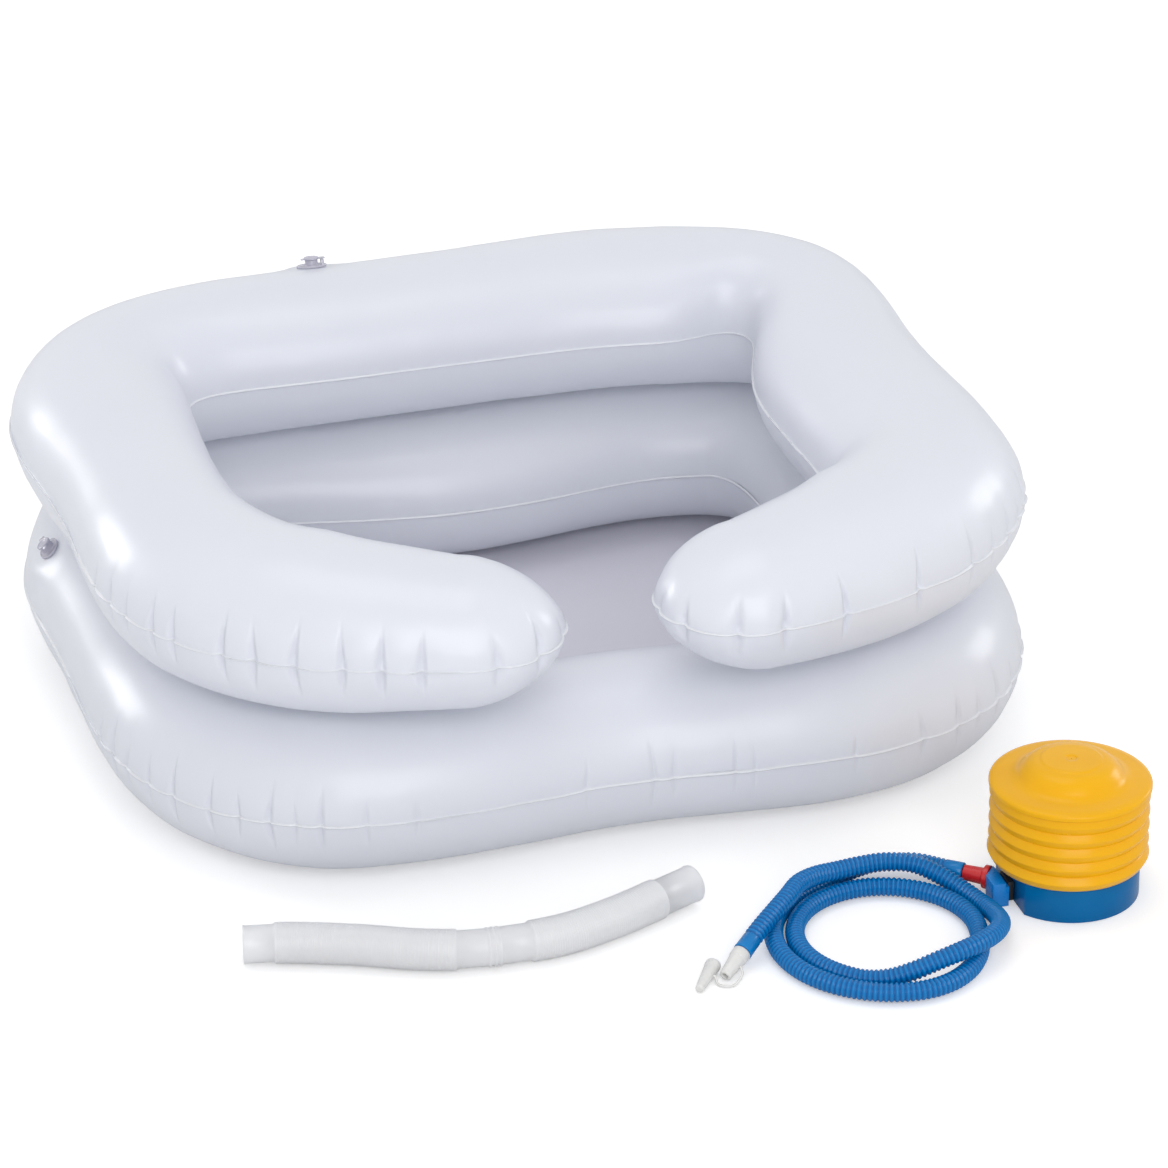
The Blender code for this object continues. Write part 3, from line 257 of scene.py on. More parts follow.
def curve_through(points, steps):
    """A smooth curve through points, with the same number of steps between each two."""
    ends = [2 * points[0] - points[1], *points, 2 * points[-1] - points[-2]]
    line = []
    for a, b, c, d in zip(ends, ends[1:], ends[2:], ends[3:]):
        for k in range(steps):
            t = k / steps
            bend = 2 * a - 5 * b + 4 * c - d
            twist = 3 * b - a - 3 * c + d
            line.append(b + ((c - a) * t + bend * t**2 + twist * t**3) / 2)
    return [*line, points[-1]]


def joining_run(start, start_pull, end, end_pull, steps):
    """A smooth run that leaves one point and arrives at another along the given pulls."""
    line = []
    for k in range(steps + 1):
        t = k / steps
        high = 3 * t**2 - 2 * t**3
        leaving = start_pull * (t**3 - 2 * t**2 + t)
        line.append(start * (1 - high) + end * high + leaving + end_pull * (t**3 - t**2))
    return line


def hose_route():
    """From the connector into the coil, round it, and out of it to the nozzle."""
    start = CONNECTOR_SEAT + CONNECTOR_AXIS * (CONNECTOR_TUBE + FITTING_GAP)
    straight = 2 * HOSE_RADIUS
    turns = [COIL_START + COIL_SWEEP * k / COIL_POINTS for k in range(COIL_POINTS + 1)]
    coil = curve_through([coil_point(turn) for turn in turns], 8)
    run = start + CONNECTOR_AXIS * straight
    pull = (coil[0] - run).length
    entry = (coil[1] - coil[0]).normalized() * pull
    lead_in = joining_run(run, CONNECTOR_AXIS * pull, coil[0], entry, 12)
    before_end = HOSE_END - NOZZLE_AXIS * straight
    pull = (before_end - coil[-1]).length
    leave = (coil[-1] - coil[-2]).normalized() * pull
    lead_out = joining_run(coil[-1], leave, before_end, NOZZLE_AXIS * pull, 16)
    return [start, *lead_in, *coil[1:], *lead_out[1:], HOSE_END]


def skin_piece(name, verts, faces, shift=None):
    """A smooth piece from points and faces, with each point shifted first where a shift is given."""
    mesh = bpy.data.meshes.new(name)
    mesh.from_pydata(verts, [], faces)
    mesh.validate()
    bm = bmesh.new()
    bm.from_mesh(mesh)
    if shift:
        for vert in bm.verts:
            shift(vert)
    bmesh.ops.recalc_face_normals(bm, faces=bm.faces)
    bm.to_mesh(mesh)
    bm.free()
    for face in mesh.polygons:
        face.use_smooth = True
    obj = bpy.data.objects.new(name, mesh)
    SCENE.collection.objects.link(obj)
    return obj


def tube_piece(name, route, places, sides, bore=None):
    """A tube along a route, from pairs of a place along it and a radius, solid or with a bore."""
    line = np.array([tuple(p) for p in route])
    steps = np.linalg.norm(np.diff(line, axis=0), axis=1)
    along = np.concatenate([[0], np.cumsum(steps)])
    at, radii = np.array(places).T

    def on_line(where):
        return np.stack([np.interp(where, along, line[:, k]) for k in range(3)], 1)

    points = on_line(at)
    heading = on_line(at + HEADING_REACH) - on_line(at - HEADING_REACH)
    heading /= np.linalg.norm(heading, axis=1)[:, None]
    sideways = np.cross(heading, (0, 0, 1.0))
    sideways /= np.linalg.norm(sideways, axis=1)[:, None]
    up = np.cross(sideways, heading)
    turns = np.arange(sides) * 2 * math.pi / sides
    ring = np.cos(turns)[None, :, None] * sideways[:, None] + np.sin(turns)[None, :, None] * up[:, None]
    outer = points[:, None] + ring * radii[:, None, None]
    rings = [outer]
    if bore:
        inner_rows = np.linspace(len(at) - 1, 0, max(2, len(at) // 6)).astype(int)
        rings.append(points[inner_rows][:, None] + ring[inner_rows] * bore)
    verts = np.concatenate(rings)
    count = len(verts)
    faces = []
    for i in range(count if bore else count - 1):
        n = (i + 1) % count
        for k in range(sides):
            m = (k + 1) % sides
            faces.append((i * sides + k, n * sides + k, n * sides + m, i * sides + m))
    if not bore:
        faces.append(tuple(range(sides)))
        faces.append(tuple(reversed(range((count - 1) * sides, count * sides))))
    return skin_piece(name, verts.reshape(-1, 3).tolist(), faces)


def route_length(route):
    return sum((b - a).length for a, b in zip(route, route[1:]))


def pump_hose_piece(route, total):
    """The ribbed hose between its two smooth ends, with its ribs' crests marked, from which the finish
    paints shade in the valleys and light on the crests.
    """
    ribbed = total - 2 * HOSE_CUFF
    ribs = round(ribbed / HOSE_RIB_PITCH)
    pitch = ribbed / ribs
    places = [(0, HOSE_RADIUS - 0.0004), (0.0005, HOSE_RADIUS), (HOSE_CUFF - 0.001, HOSE_RADIUS - 0.0002)]
    for k in range(ribs):
        for step in range(RIB_STEPS):
            share = step / RIB_STEPS
            swell = (0.5 - 0.5 * math.cos(2 * math.pi * share)) ** 0.7
            places.append((HOSE_CUFF + (k + share) * pitch, HOSE_RADIUS - HOSE_VALLEY * (1 - swell)))
    places.append((total - HOSE_CUFF, HOSE_RADIUS - HOSE_VALLEY))
    places.append((total - HOSE_CUFF + 0.0012, HOSE_RADIUS - 0.0002))
    places.append((total - 0.0020, HOSE_RADIUS - 0.0001))
    places.append((total - 0.0012, HOSE_RADIUS))
    places.append((total, HOSE_RADIUS))
    obj = tube_piece("pump_hose_tube", route, places, HOSE_SIDES, HOSE_BORE)
    painted_rib_light = np.zeros(len(obj.data.vertices))
    painted_rib_light[:len(places) * HOSE_SIDES] = np.repeat(
        [1 - (HOSE_RADIUS - radius) / HOSE_VALLEY for _, radius in places], HOSE_SIDES
    )
    obj.data.attributes.new("crest", "FLOAT", "POINT").data.foreach_set("value", painted_rib_light)
    return obj


pump_hose_route = hose_route()
pump_hose_length = route_length(pump_hose_route)
pump_hose_tube = pump_hose_piece(pump_hose_route, pump_hose_length)
hose_finish, shader, place = finish_named("blue hose vinyl", roughness=0.14, specular_ior_level=0.28)
# Painted shade and light: the hose's colour is darker in the rib valleys and lighter on the crests, read
# from the crest share, with a little random tone from the noise.
crest = place.node("ShaderNodeAttribute", {"attribute_name": "crest"}, {}, 2).clamped()
rib_shade_and_tone = (crest * 0.8 + place.noise(38.0) * 0.2).clamped()
feed(shader, base_color=rib_shade_and_tone.colours((0.000, 0.085, 0.31, 1), (0.001, 0.210, 0.56, 1)))
feed(shader, roughness=place.noise(90.0) * 0.08 + 0.06)
pump_hose_tube.data.materials.append(hose_finish)
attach(pump_hose_tube, "kit")
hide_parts("pump_hose")

# The nozzle, its cap and the tether: one milky soft moulding. The nozzle pushes into the hose's
# smooth end, and the hollow cap that closes it hangs by the thin tether and lies on the ground.

NOZZLE_LENGTH = 0.0200
NOZZLE_COLLAR_LENGTH = 0.0060
NOZZLE_COLLAR_RADIUS = 0.0054
NOZZLE_TIP_RADIUS = 0.0036
NOZZLE_BORE = 0.0018
CAP_LENGTH = 0.0250
CAP_WIDE_RADIUS = 0.0046
CAP_NARROW_RADIUS = 0.0024
CAP_START = Vector((0.0060, -0.3935, 0.00492))
CAP_AXIS = Vector((-0.5855, -0.8059, -0.0877)).normalized()
TETHER_RADIUS = 0.0008
TETHER_PLACE = 0.0110
TETHER_STUB = 0.0015
TETHER_STEPS = 60
UPWARDS = Vector((0, 0, 1))
EVEN = (1.0, 1.0, 1.0)


def pick(obj):
    bpy.ops.object.select_all(action="DESELECT")
    obj.select_set(True)
    bpy.context.view_layer.objects.active = obj


def lathe(name, profile, sides, looped=False):
    """Turn a profile of (radius, height) pairs, by drawing a circle up along it."""
    bpy.ops.object.select_all(action="DESELECT")
    first_radius, first_height = profile[0]
    bpy.ops.mesh.primitive_circle_add(vertices=sides, radius=first_radius, location=(0, 0, 0))
    obj = bpy.context.object
    obj.name = name
    bpy.ops.object.mode_set(mode="EDIT")
    bpy.ops.mesh.select_all(action="SELECT")
    bpy.ops.transform.translate(value=(0, 0, first_height))
    if not looped:
        bpy.ops.mesh.edge_face_add()
        bpy.ops.mesh.select_all(action="DESELECT")
        bpy.ops.mesh.select_mode(type="EDGE")
        bpy.ops.mesh.select_non_manifold()
    for (radius, height), (next_radius, next_height) in zip(profile, profile[1:]):
        bpy.ops.mesh.extrude_edges_move(
            TRANSFORM_OT_translate={"value": (0, 0, next_height - height)}
        )
        grow = next_radius / radius
        bpy.ops.transform.resize(value=(grow, grow, 1), center_override=(0, 0, next_height))
    if looped:
        bpy.ops.mesh.select_all(action="SELECT")
        bpy.ops.mesh.remove_doubles(threshold=1e-6)
    else:
        bpy.ops.mesh.edge_face_add()
    bpy.ops.mesh.select_all(action="SELECT")
    bpy.ops.mesh.normals_make_consistent(inside=False)
    bpy.ops.object.mode_set(mode="OBJECT")
    return obj


def rounded(profile, reach, steps=3):
    """The profile with each inner corner rounded over a reach, at most a third of either side."""
    points = [Vector(p) for p in profile]
    made = [points[0]]
    for before, corner, after in zip(points, points[1:], points[2:]):
        back = min(reach, (before - corner).length / 3)
        on = min(reach, (after - corner).length / 3)
        a = corner + (before - corner).normalized() * back
        b = corner + (after - corner).normalized() * on
        for k in range(steps + 1):
            t = k / steps
            made.append(a * (1 - t) ** 2 + corner * 2 * t * (1 - t) + b * t**2)
    made.append(points[-1])
    return [tuple(p) for p in made]


def placed(origin, x, z):
    return Matrix.Translation(origin) @ Matrix((x, z.cross(x), z)).transposed().to_4x4()


def put_at(obj, place):
    """Put a piece that was made at the origin where it belongs, and leave its place in its mesh."""
    obj.matrix_world = place
    pick(obj)
    bpy.ops.object.transform_apply(location=True, rotation=True, scale=True)


def set_down(obj, origin, axis):
    """Turn a piece from upright to an axis, and put it at its origin."""
    z = axis.normalized()
    x = Vector((-z.y, z.x, 0)).normalized() if abs(z.z) < 0.999 else Vector((1, 0, 0))
    put_at(obj, placed(origin, x, z))


def smooth_sharp(obj, degrees):
    pick(obj)
    bpy.ops.object.shade_smooth_by_angle(angle=math.radians(degrees))


def moulded(name, tint, gloss, detail=2.0, **constants):
    """A finish whose colour and gloss wander over the piece, from a grain and two ends for each."""
    material, shader, place = finish_named(name, **constants)
    grain, dark, light = tint
    feed(shader, base_color=place.noise(grain).colours(dark, light))
    grain, span, low = gloss
    feed(shader, roughness=place.noise(grain, detail) * span + low)
    return material, shader, place


nozzle = lathe("nozzle_tube", rounded([
    (NOZZLE_BORE, NOZZLE_LENGTH - 0.0140),
    (NOZZLE_BORE, NOZZLE_LENGTH),
    (NOZZLE_TIP_RADIUS, NOZZLE_LENGTH),
    (NOZZLE_TIP_RADIUS + 0.0002, NOZZLE_LENGTH - 0.0030),
    (NOZZLE_COLLAR_RADIUS - 0.0004, NOZZLE_COLLAR_LENGTH),
    (NOZZLE_COLLAR_RADIUS, NOZZLE_COLLAR_LENGTH - 0.0006),
    (NOZZLE_COLLAR_RADIUS, 0.0003),
    (0.0034, 0.0003),
    (0.0034, -0.0080),
    (0.0012, -0.0080),
    (0.0012, NOZZLE_LENGTH - 0.0142),
], 0.0006), 40)
set_down(nozzle, HOSE_END, NOZZLE_AXIS)
smooth_sharp(nozzle, 50)
cap = lathe("cap_tube", rounded([
    (0.0008, CAP_LENGTH),
    (CAP_NARROW_RADIUS, CAP_LENGTH),
    (CAP_NARROW_RADIUS + 0.0002, CAP_LENGTH - 0.0020),
    (CAP_WIDE_RADIUS - 0.0003, 0.0040),
    (CAP_WIDE_RADIUS, 0.0030),
    (CAP_WIDE_RADIUS, 0),
    (CAP_WIDE_RADIUS - 0.0012, 0),
    (CAP_WIDE_RADIUS - 0.0018, 0.0120),
    (0.0008, 0.0122),
], 0.0008), 36)
set_down(cap, CAP_START, CAP_AXIS)
smooth_sharp(cap, 50)


def tether_route():
    """From the cap's side along the ground and up to the nozzle's side."""
    cap_side = -CAP_AXIS.cross(UPWARDS).normalized()
    nozzle_side = -NOZZLE_AXIS.cross(UPWARDS).normalized()
    cap_reach = CAP_WIDE_RADIUS - (CAP_WIDE_RADIUS - CAP_NARROW_RADIUS) * 0.44 - TETHER_RADIUS / 2
    first = CAP_START + CAP_AXIS * TETHER_PLACE + cap_side * cap_reach
    last = HOSE_END + NOZZLE_AXIS * TETHER_PLACE + nozzle_side * 0.0040
    low = [Vector(p) for p in (
        (0.0040, -0.4085, 0.0011),
        (0.0075, -0.4122, 0.0011),
        (0.0130, -0.4120, 0.0011),
        (0.0182, -0.4082, 0.0040),
    )]
    line = [first, first + cap_side * TETHER_STUB, *low, last + nozzle_side * TETHER_STUB, last]
    return curve_through(line, 6)


tether_line = tether_route()
tether_length = route_length(tether_line)
tether_places = [(tether_length * k / TETHER_STEPS, TETHER_RADIUS) for k in range(TETHER_STEPS + 1)]
tether = tube_piece("cap_tether_strap", tether_line, tether_places, 12)
milky_finish, shader, place = moulded(
    "milky soft moulding",
    (160.0, (0.66, 0.66, 0.65, 1), (0.76, 0.76, 0.75, 1)),
    (500.0, 0.15, 0.22),
    subsurface_weight=0.35,
    subsurface_radius=EVEN,
    subsurface_scale=0.004,
)
feed(shader, normal=place.noise(900.0).bumped(0.08, 0.0002))
for obj, node in ((nozzle, "pump_nozzle"), (cap, "nozzle_cap"), (tether, "cap_tether")):
    obj.data.materials.append(milky_finish)
    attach(obj, "kit")
    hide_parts(node)

# The drain hose: a thin milky tube 28 cm long, finely pleated so that it bends, with a smooth
# clear cuff at each end and one in the middle with three small ridges. It pushes into the drain.

DRAIN_RADIUS = 0.0120
DRAIN_VALLEY = 0.0005
DRAIN_CUFF_RADIUS = 0.0108
DRAIN_BORE = 0.0094
DRAIN_PLEAT_PITCH = 0.00135
DRAIN_LEFT_CUFF = 0.0170
DRAIN_MIDDLE_START = 0.1220
DRAIN_MIDDLE_CUFF = 0.0410
DRAIN_RIGHT_CUFF = 0.0270
DRAIN_LIP = 0.0008
DRAIN_LIP_RISE = 0.0003
RIDGE_PITCH = 0.0030
RIDGE_SHAPE = ((0.2, 0.0), (0.35, 0.0005), (0.5, 0.0006), (0.65, 0.0005), (0.8, 0.0))
PLEAT_WANDER = 0.00012
DRAIN_ROUTE = [Vector((x, y, DRAIN_RADIUS + 0.0003)) for x, y in (
    (-0.2455, -0.3075), (-0.2215, -0.3125), (-0.1850, -0.3260), (-0.1500, -0.3420), (-0.1180, -0.3500),
    (-0.0740, -0.3500), (-0.0390, -0.3405), (-0.0055, -0.3260), (0.0175, -0.3155),
)]


def pleats(start, end):
    """Places and radii of the fine pleats between two cuffs, a little uneven as blown film is."""
    count = round((end - start) / DRAIN_PLEAT_PITCH)
    pitch = (end - start) / count
    made = [(start, DRAIN_CUFF_RADIUS), (start + 0.0006, DRAIN_RADIUS - 0.0006)]
    for k in range(1, count):
        middle = start + (k + 0.5) * pitch
        wander = PLEAT_WANDER * noise(Vector((middle * 90, 0.3, 0.7)))
        made.append((middle - pitch / 4, DRAIN_RADIUS - wander - PLEAT_WANDER))
        made.append((middle, DRAIN_RADIUS - abs(wander)))
        made.append((middle + pitch / 2, DRAIN_RADIUS - DRAIN_VALLEY))
    made[-1] = (end, DRAIN_CUFF_RADIUS)
    return made


drain_line = curve_through(DRAIN_ROUTE, 12)
drain_length = route_length(drain_line)
middle_end = DRAIN_MIDDLE_START + DRAIN_MIDDLE_CUFF
ridge_start = DRAIN_MIDDLE_START + DRAIN_MIDDLE_CUFF / 2 - 1.5 * RIDGE_PITCH
cuff_lip = (
    (0, DRAIN_CUFF_RADIUS + 0.0002),
    (DRAIN_LIP, DRAIN_CUFF_RADIUS + DRAIN_LIP_RISE),
    (2 * DRAIN_LIP, DRAIN_CUFF_RADIUS),
)
drain_places = [*cuff_lip, *pleats(DRAIN_LEFT_CUFF, DRAIN_MIDDLE_START), (ridge_start, DRAIN_CUFF_RADIUS)]
for ridge in range(3):
    for share, rise in RIDGE_SHAPE:
        drain_places.append((ridge_start + (ridge + share) * RIDGE_PITCH, DRAIN_CUFF_RADIUS + rise))
drain_places += pleats(middle_end, drain_length - DRAIN_RIGHT_CUFF)
drain_places += [(drain_length - place, radius) for place, radius in reversed(cuff_lip)]
drain_hose_tube = tube_piece("drain_hose_tube", drain_line, drain_places, 40, DRAIN_BORE)
drain_finish, shader, place = moulded(
    "milky hose vinyl",
    (70.0, (0.89, 0.90, 0.94, 1), (0.93, 0.94, 0.97, 1)),
    (300.0, 0.14, 0.25),
    transmission_weight=0.25,
    subsurface_weight=0.30,
    subsurface_radius=EVEN,
    subsurface_scale=0.006,
)
drain_hose_tube.data.materials.append(drain_finish)
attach(drain_hose_tube, "kit")
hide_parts("drain_hose")

# The two film chambers: pearl white PVC film 0.3 mm thick, each cut as two flat sheets and welded
# round the edge, then blown up. The lower one is a closed ring and the upper one a U whose arms
# leave the neck gap. Where the flat film has to turn a corner, it puckers along the outer weld.

LOWER_WIDTH = 0.112
LOWER_OUTLINE = (0.3056, 0.0204, -0.0274, 0, 0.0030, 0.0047)
LOWER_SEAM_Z = 0.05065
UPPER_WIDTH = 0.118
UPPER_OUTLINE = (0.3048, 0.0117, -0.0189, -0.0050, -0.0062, 0.0089)
UPPER_SEAM_Z = 0.1506
RIGHT_ARM = math.radians(-72.2)
LEFT_ARM = math.radians(249.2)
ARM_TAPER = 0.110
ARM_END_SHARE = 0.85
TIP_LONGER_SHARE = 0.17
TIP_FLATTER_SHARE = 0.20
WELD = 0.0014
WELD_HALF_THICKNESS = 0.00025
WELD_INSET = 0.0030
FILM_RISE = 0.0499
SECTION_FULLNESS = 2.06
PUCKER_DEPTH = 1.8
PUCKER_START = math.radians(-70.5)
VALVE_SPAN = (0.0046, 0.01225)
VALVE_FLAT = 0.0110
VALVE_REACH = 0.0300
VALVE_HINGE_PLACE = (0.0084, 0.0057)
SMOOTH_STEP = 0.0048
PUCKER_STEP = 0.0008
PUCKER_SPREAD = 0.0050
TIP_SECTIONS = 96
NO_SEAM = -9.0
SEAM_WANDER = 0.0009
FILM_WAVES = ((11, 0.0011), (31, 0.0004))
FILM_LOWEST = 0.0008
QUARTER_COLUMNS = (0.0008, 0.0020, 0.0034, 0.0050, 0.0068, 0.0088, 0.0110, 0.0135, 0.0163, 0.0195,
                   0.0230, 0.0270, 0.0320, 0.0380, 0.0450, 0.0530, 0.0620, 0.0715)

# Where an outline leans out or in, and where a tube is wider or narrower than the rest of it: at what
# angle round the basin, by how much, and over what reach.
UPPER_LEANS = ((-27, 0.0030, 8), (14, -0.0115, 17), (62, 0.0135, 20), (154, 0.0030, 12))
UPPER_SWELLS = ((27, -0.0250, 15), (60, 0.0130, 20), (135, -0.0120, 16), (184, -0.0170, 18))
LOWER_LEANS = ((150, -0.0050, 9), (174, -0.0025, 14))
LOWER_SWELLS = ((50, 0.0080, 20), (88, 0.0120, 42))

# Each pucker: how far along the seam, how deep, and how far it runs up and down the film. Those of
# the arms' tips are counted round the tip from where the arm ends.
UPPER_PUCKERS = (
    (0.026, 2.6, 28, 21), (0.079, 2.4, 27, 20), (0.128, 2.3, 25, 19), (0.151, 1.2, 14, 13),
    (0.174, 1.7, 19, 15), (0.196, 1.3, 15, 14), (0.214, 2.4, 26, 18), (0.233, 1.5, 17, 14),
    (0.266, 2.3, 24, 17), (0.285, 1.3, 15, 13), (0.309, 1.5, 16, 12), (1.472, 1.4, 15, 13),
    (1.497, 1.7, 17, 14), (1.516, 1.3, 15, 12), (1.543, 2.3, 23, 19), (1.560, 2.0, 21, 17),
    (1.595, 2.5, 27, 21), (1.616, 2.1, 24, 22), (1.640, 2.6, 28, 22), (1.669, 2.4, 26, 20),
    (1.691, 2.6, 27, 22), (1.714, 2.3, 25, 19),
)
LEFT_TIP_PUCKERS = (
    (0.021, 2.4, 24, 18), (0.047, 3.0, 36, 25), (0.070, 1.4, 17, 14), (0.093, 2.5, 30, 21),
    (0.127, 2.4, 26, 20), (0.152, 2.0, 22, 18),
)
RIGHT_TIP_PUCKERS = (
    (0.007, 2.5, 28, 21), (0.034, 2.5, 29, 22), (0.064, 2.5, 27, 21), (0.086, 1.4, 16, 15),
    (0.108, 2.1, 22, 18), (0.135, 1.5, 17, 14),
)
LOWER_PUCKERS = (
    (1.110, 1.0, 16, 14), (1.133, 1.7, 24, 20), (1.152, 1.0, 15, 14), (1.176, 1.3, 19, 17),
    (1.198, 1.9, 26, 22), (1.226, 1.6, 22, 20), (1.246, 1.2, 17, 16), (1.265, 1.8, 25, 22),
    (1.281, 1.1, 15, 15), (1.296, 1.6, 22, 20), (1.322, 1.0, 16, 15), (1.352, 0.8, 14, 13),
    (1.455, 0.9, 20, 17), (1.497, 1.0, 26, 20), (1.508, 0.8, 19, 15), (1.545, 0.9, 22, 17),
    (1.557, 0.7, 16, 14), (1.618, 0.8, 15, 13), (1.665, 1.2, 20, 16), (1.693, 1.4, 23, 19),
    (1.713, 1.0, 15, 15), (1.736, 1.6, 24, 20), (1.759, 1.1, 17, 15), (1.795, 1.5, 22, 18),
    (1.820, 1.0, 16, 15), (1.848, 1.0, 15, 14),
)


def local_changes(changes, angles):
    total = np.zeros(len(angles))
    for at, size, reach in changes:
        away = (np.degrees(angles) - at + 180) % 360 - 180
        total += size * np.exp(-((away / reach) ** 2))
    return total


def film_sections(outline, leans, widths, angles):
    """Centres, outward directions and headings of a chamber's sections, at angles round the basin."""
    mean, oval, square, lobe, front, corner = outline

    def edge(turn):
        radius = mean + oval * np.cos(2 * turn) + square * np.cos(4 * turn) + lobe * np.cos(6 * turn)
        radius += front * np.sin(turn) + corner * np.sin(3 * turn)
        radius += local_changes(leans, turn)
        return np.stack([radius * np.cos(turn), radius * np.sin(turn)], 1)

    heading = np.zeros((len(angles), 2))
    for reach in np.radians((1, 4, 8, 12)):
        step = edge(angles + reach) - edge(angles - reach)
        heading += step / np.linalg.norm(step, axis=1)[:, None]
    heading /= np.linalg.norm(heading, axis=1)[:, None]
    outward = np.stack([heading[:, 1], -heading[:, 0]], 1)
    inset = np.broadcast_to(WELD_INSET + np.asarray(widths) / 2, len(angles))
    return edge(angles) - outward * inset[:, None], outward, heading


def arm_share(along):
    """The arms' width and height against the full tube: they grow slimmer towards their tips."""
    from_end = np.minimum(along - along[0], along[-1] - along)
    near = np.clip(1 - from_end / ARM_TAPER, 0, 1)
    return 1 - (1 - ARM_END_SHARE) * near**1.3


def spread_stations(outline, leans, width, first, last, puckers, tips):
    """Angles of the sections, close together at each pucker and wider apart on the smooth film."""
    fine = np.linspace(first, last, 6000)
    middles, outward, _ = film_sections(outline, leans, width, fine)
    seam = middles + outward * width / 2
    along = np.concatenate([[0], np.cumsum(np.linalg.norm(np.diff(seam, axis=0), axis=1))])
    start = np.interp(PUCKER_START, fine, along)
    counted = [(start + at, *rest) for at, *rest in puckers]
    counted += [(-at, *rest) for at, *rest in tips[0]] + [(along[-1] + at, *rest) for at, *rest in tips[1]]
    density = np.full(len(fine), 1 / SMOOTH_STEP)
    for at, *_ in counted:
        density += 1 / PUCKER_STEP * np.exp(-(((along - at) / PUCKER_SPREAD) ** 2))
    filled = np.concatenate([[0], np.cumsum((density[1:] + density[:-1]) / 2 * np.diff(along))])
    count = round(filled[-1])
    places = np.interp(np.linspace(0, filled[-1], count + 1), filled, along)
    return np.interp(places, along, fine), places, counted


def section_columns(half_width, rise):
    """Points of a half section from the crown down to the weld: how far out, how high, how far from it."""
    turn = np.linspace(0, math.pi / 2, 600)
    share = 2 / SECTION_FULLNESS
    out, up = half_width * np.cos(turn) ** share, rise * np.sin(turn) ** share
    away = np.concatenate([[0], np.cumsum(np.hypot(np.diff(out), np.diff(up)))])
    at = np.array([k for k in QUARTER_COLUMNS if k < away[-1] - 0.004])
    return np.interp(at, away, out)[::-1], np.interp(at, away, up)[::-1], at[::-1]


def drawn_in(along, away, puckers, under):
    """How far the film is drawn in at each place by its puckers, and puffed out between them."""
    depth = np.zeros((len(along), len(away)))
    ordered = sorted(puckers)
    for k, (at, deep, up_reach, down_reach) in enumerate(ordered):
        reach = (down_reach if under else up_reach) / 1000
        half = (1.8 + 0.80 * deep + 0.4 * math.sin(7 * k)) / 1000
        lean = 0.10 * math.sin(3.7 * k + 1)
        near = np.abs(along - at) < 1.3 * half + abs(lean) * reach
        fade = np.clip(1 - away / reach, 0, 1)
        lens = fade * (0.40 + 0.60 * np.clip(away / 0.006, 0, 1))
        aside = along[near][:, None] - at - lean * away[None]
        across = np.abs(aside) / (half * np.where(aside > 0, 0.75, 1.25) * (0.25 + 0.75 * fade[None]))
        depth[near] += PUCKER_DEPTH * deep / 1000 * lens[None] * (1 - np.clip(across, 0, 1) ** 1.6) ** 1.3
    for (at, deep, *_), (after, deeper, *_) in zip(ordered, ordered[1:]):
        gap = after - at
        if gap < 0.060:
            near = (along > at) & (along < after)
            swell = np.sin((along[near] - at) / gap * math.pi) ** 1.2
            puff = 0.80 * min(deep, deeper, 2.4) * min(1, gap / 0.022) / 1000
            depth[near] -= puff * swell[:, None] * np.exp(-((away / 0.019) ** 2))[None]
    return depth


def film_runs(middles, outward, heading, places, halves, looped):
    """The half sections round a chamber in order: centre, direction, place on the seam, and crown."""
    count = len(middles) - 1 if looped else len(middles)
    outer = [(middles[i], outward[i], places[i], i, 0.0) for i in range(count)]
    inner = [(middles[i], -outward[i], None, i, 0.0) for i in range(count)]
    if looped:
        return [outer, inner[::-1]]
    left, right = [], []
    for k in range(1, TIP_SECTIONS):
        turn = math.pi * k / TIP_SECTIONS
        aim = outward[-1] * math.cos(turn) + heading[-1] * math.sin(turn)
        left.append((middles[-1], aim, places[-1] + halves[-1] * turn, count - 1, math.sin(turn)))
        aim = -outward[0] * math.cos(turn) - heading[0] * math.sin(turn)
        right.append((middles[0], aim, -halves[0] * (math.pi - turn), 0, math.sin(turn)))
    return [outer + left + inner[::-1] + right]


def valve_place(prefix):
    """Where a valve's stem sits: its origin on the film, Y along its plug's hinge and Z outward."""
    joints = {joint["name"]: joint for joint in frame["joints"]}
    plug, flap = joints[prefix + "_valve_open"], joints[prefix + "_valve_check"]
    span = Vector(plug["pos_m"]) - Vector(flap["pos_m"])
    y = Vector(plug["axis"]).normalized()
    across = span.cross(y)
    x = (VALVE_SPAN[0] * span - VALVE_SPAN[1] * across).normalized()
    z = (VALVE_SPAN[1] * span + VALVE_SPAN[0] * across).normalized()
    return placed(Vector(plug["pos_m"]) - x * VALVE_HINGE_PLACE[0] - z * VALVE_HINGE_PLACE[1], x, z)


VALVE_PLACES = {prefix: valve_place(prefix) for prefix in ("upper", "lower")}


def settled(vert):
    """Give the film its faint waves, keep it off the ground, and lay it flat under the valves."""
    soft = sum(noise(vert.co * scale) * size for scale, size in FILM_WAVES)
    vert.co += vert.normal * soft if vert.normal.length else Vector()
    vert.co.z = max(vert.co.z, FILM_LOWEST)
    for valve in VALVE_PLACES.values():
        seated = valve.inverted() @ vert.co
        aside = math.hypot(seated.x, seated.y)
        if aside < VALVE_REACH and abs(seated.z) < VALVE_REACH:
            seated.z *= eased(aside, VALVE_FLAT, VALVE_REACH)
            vert.co = valve @ seated


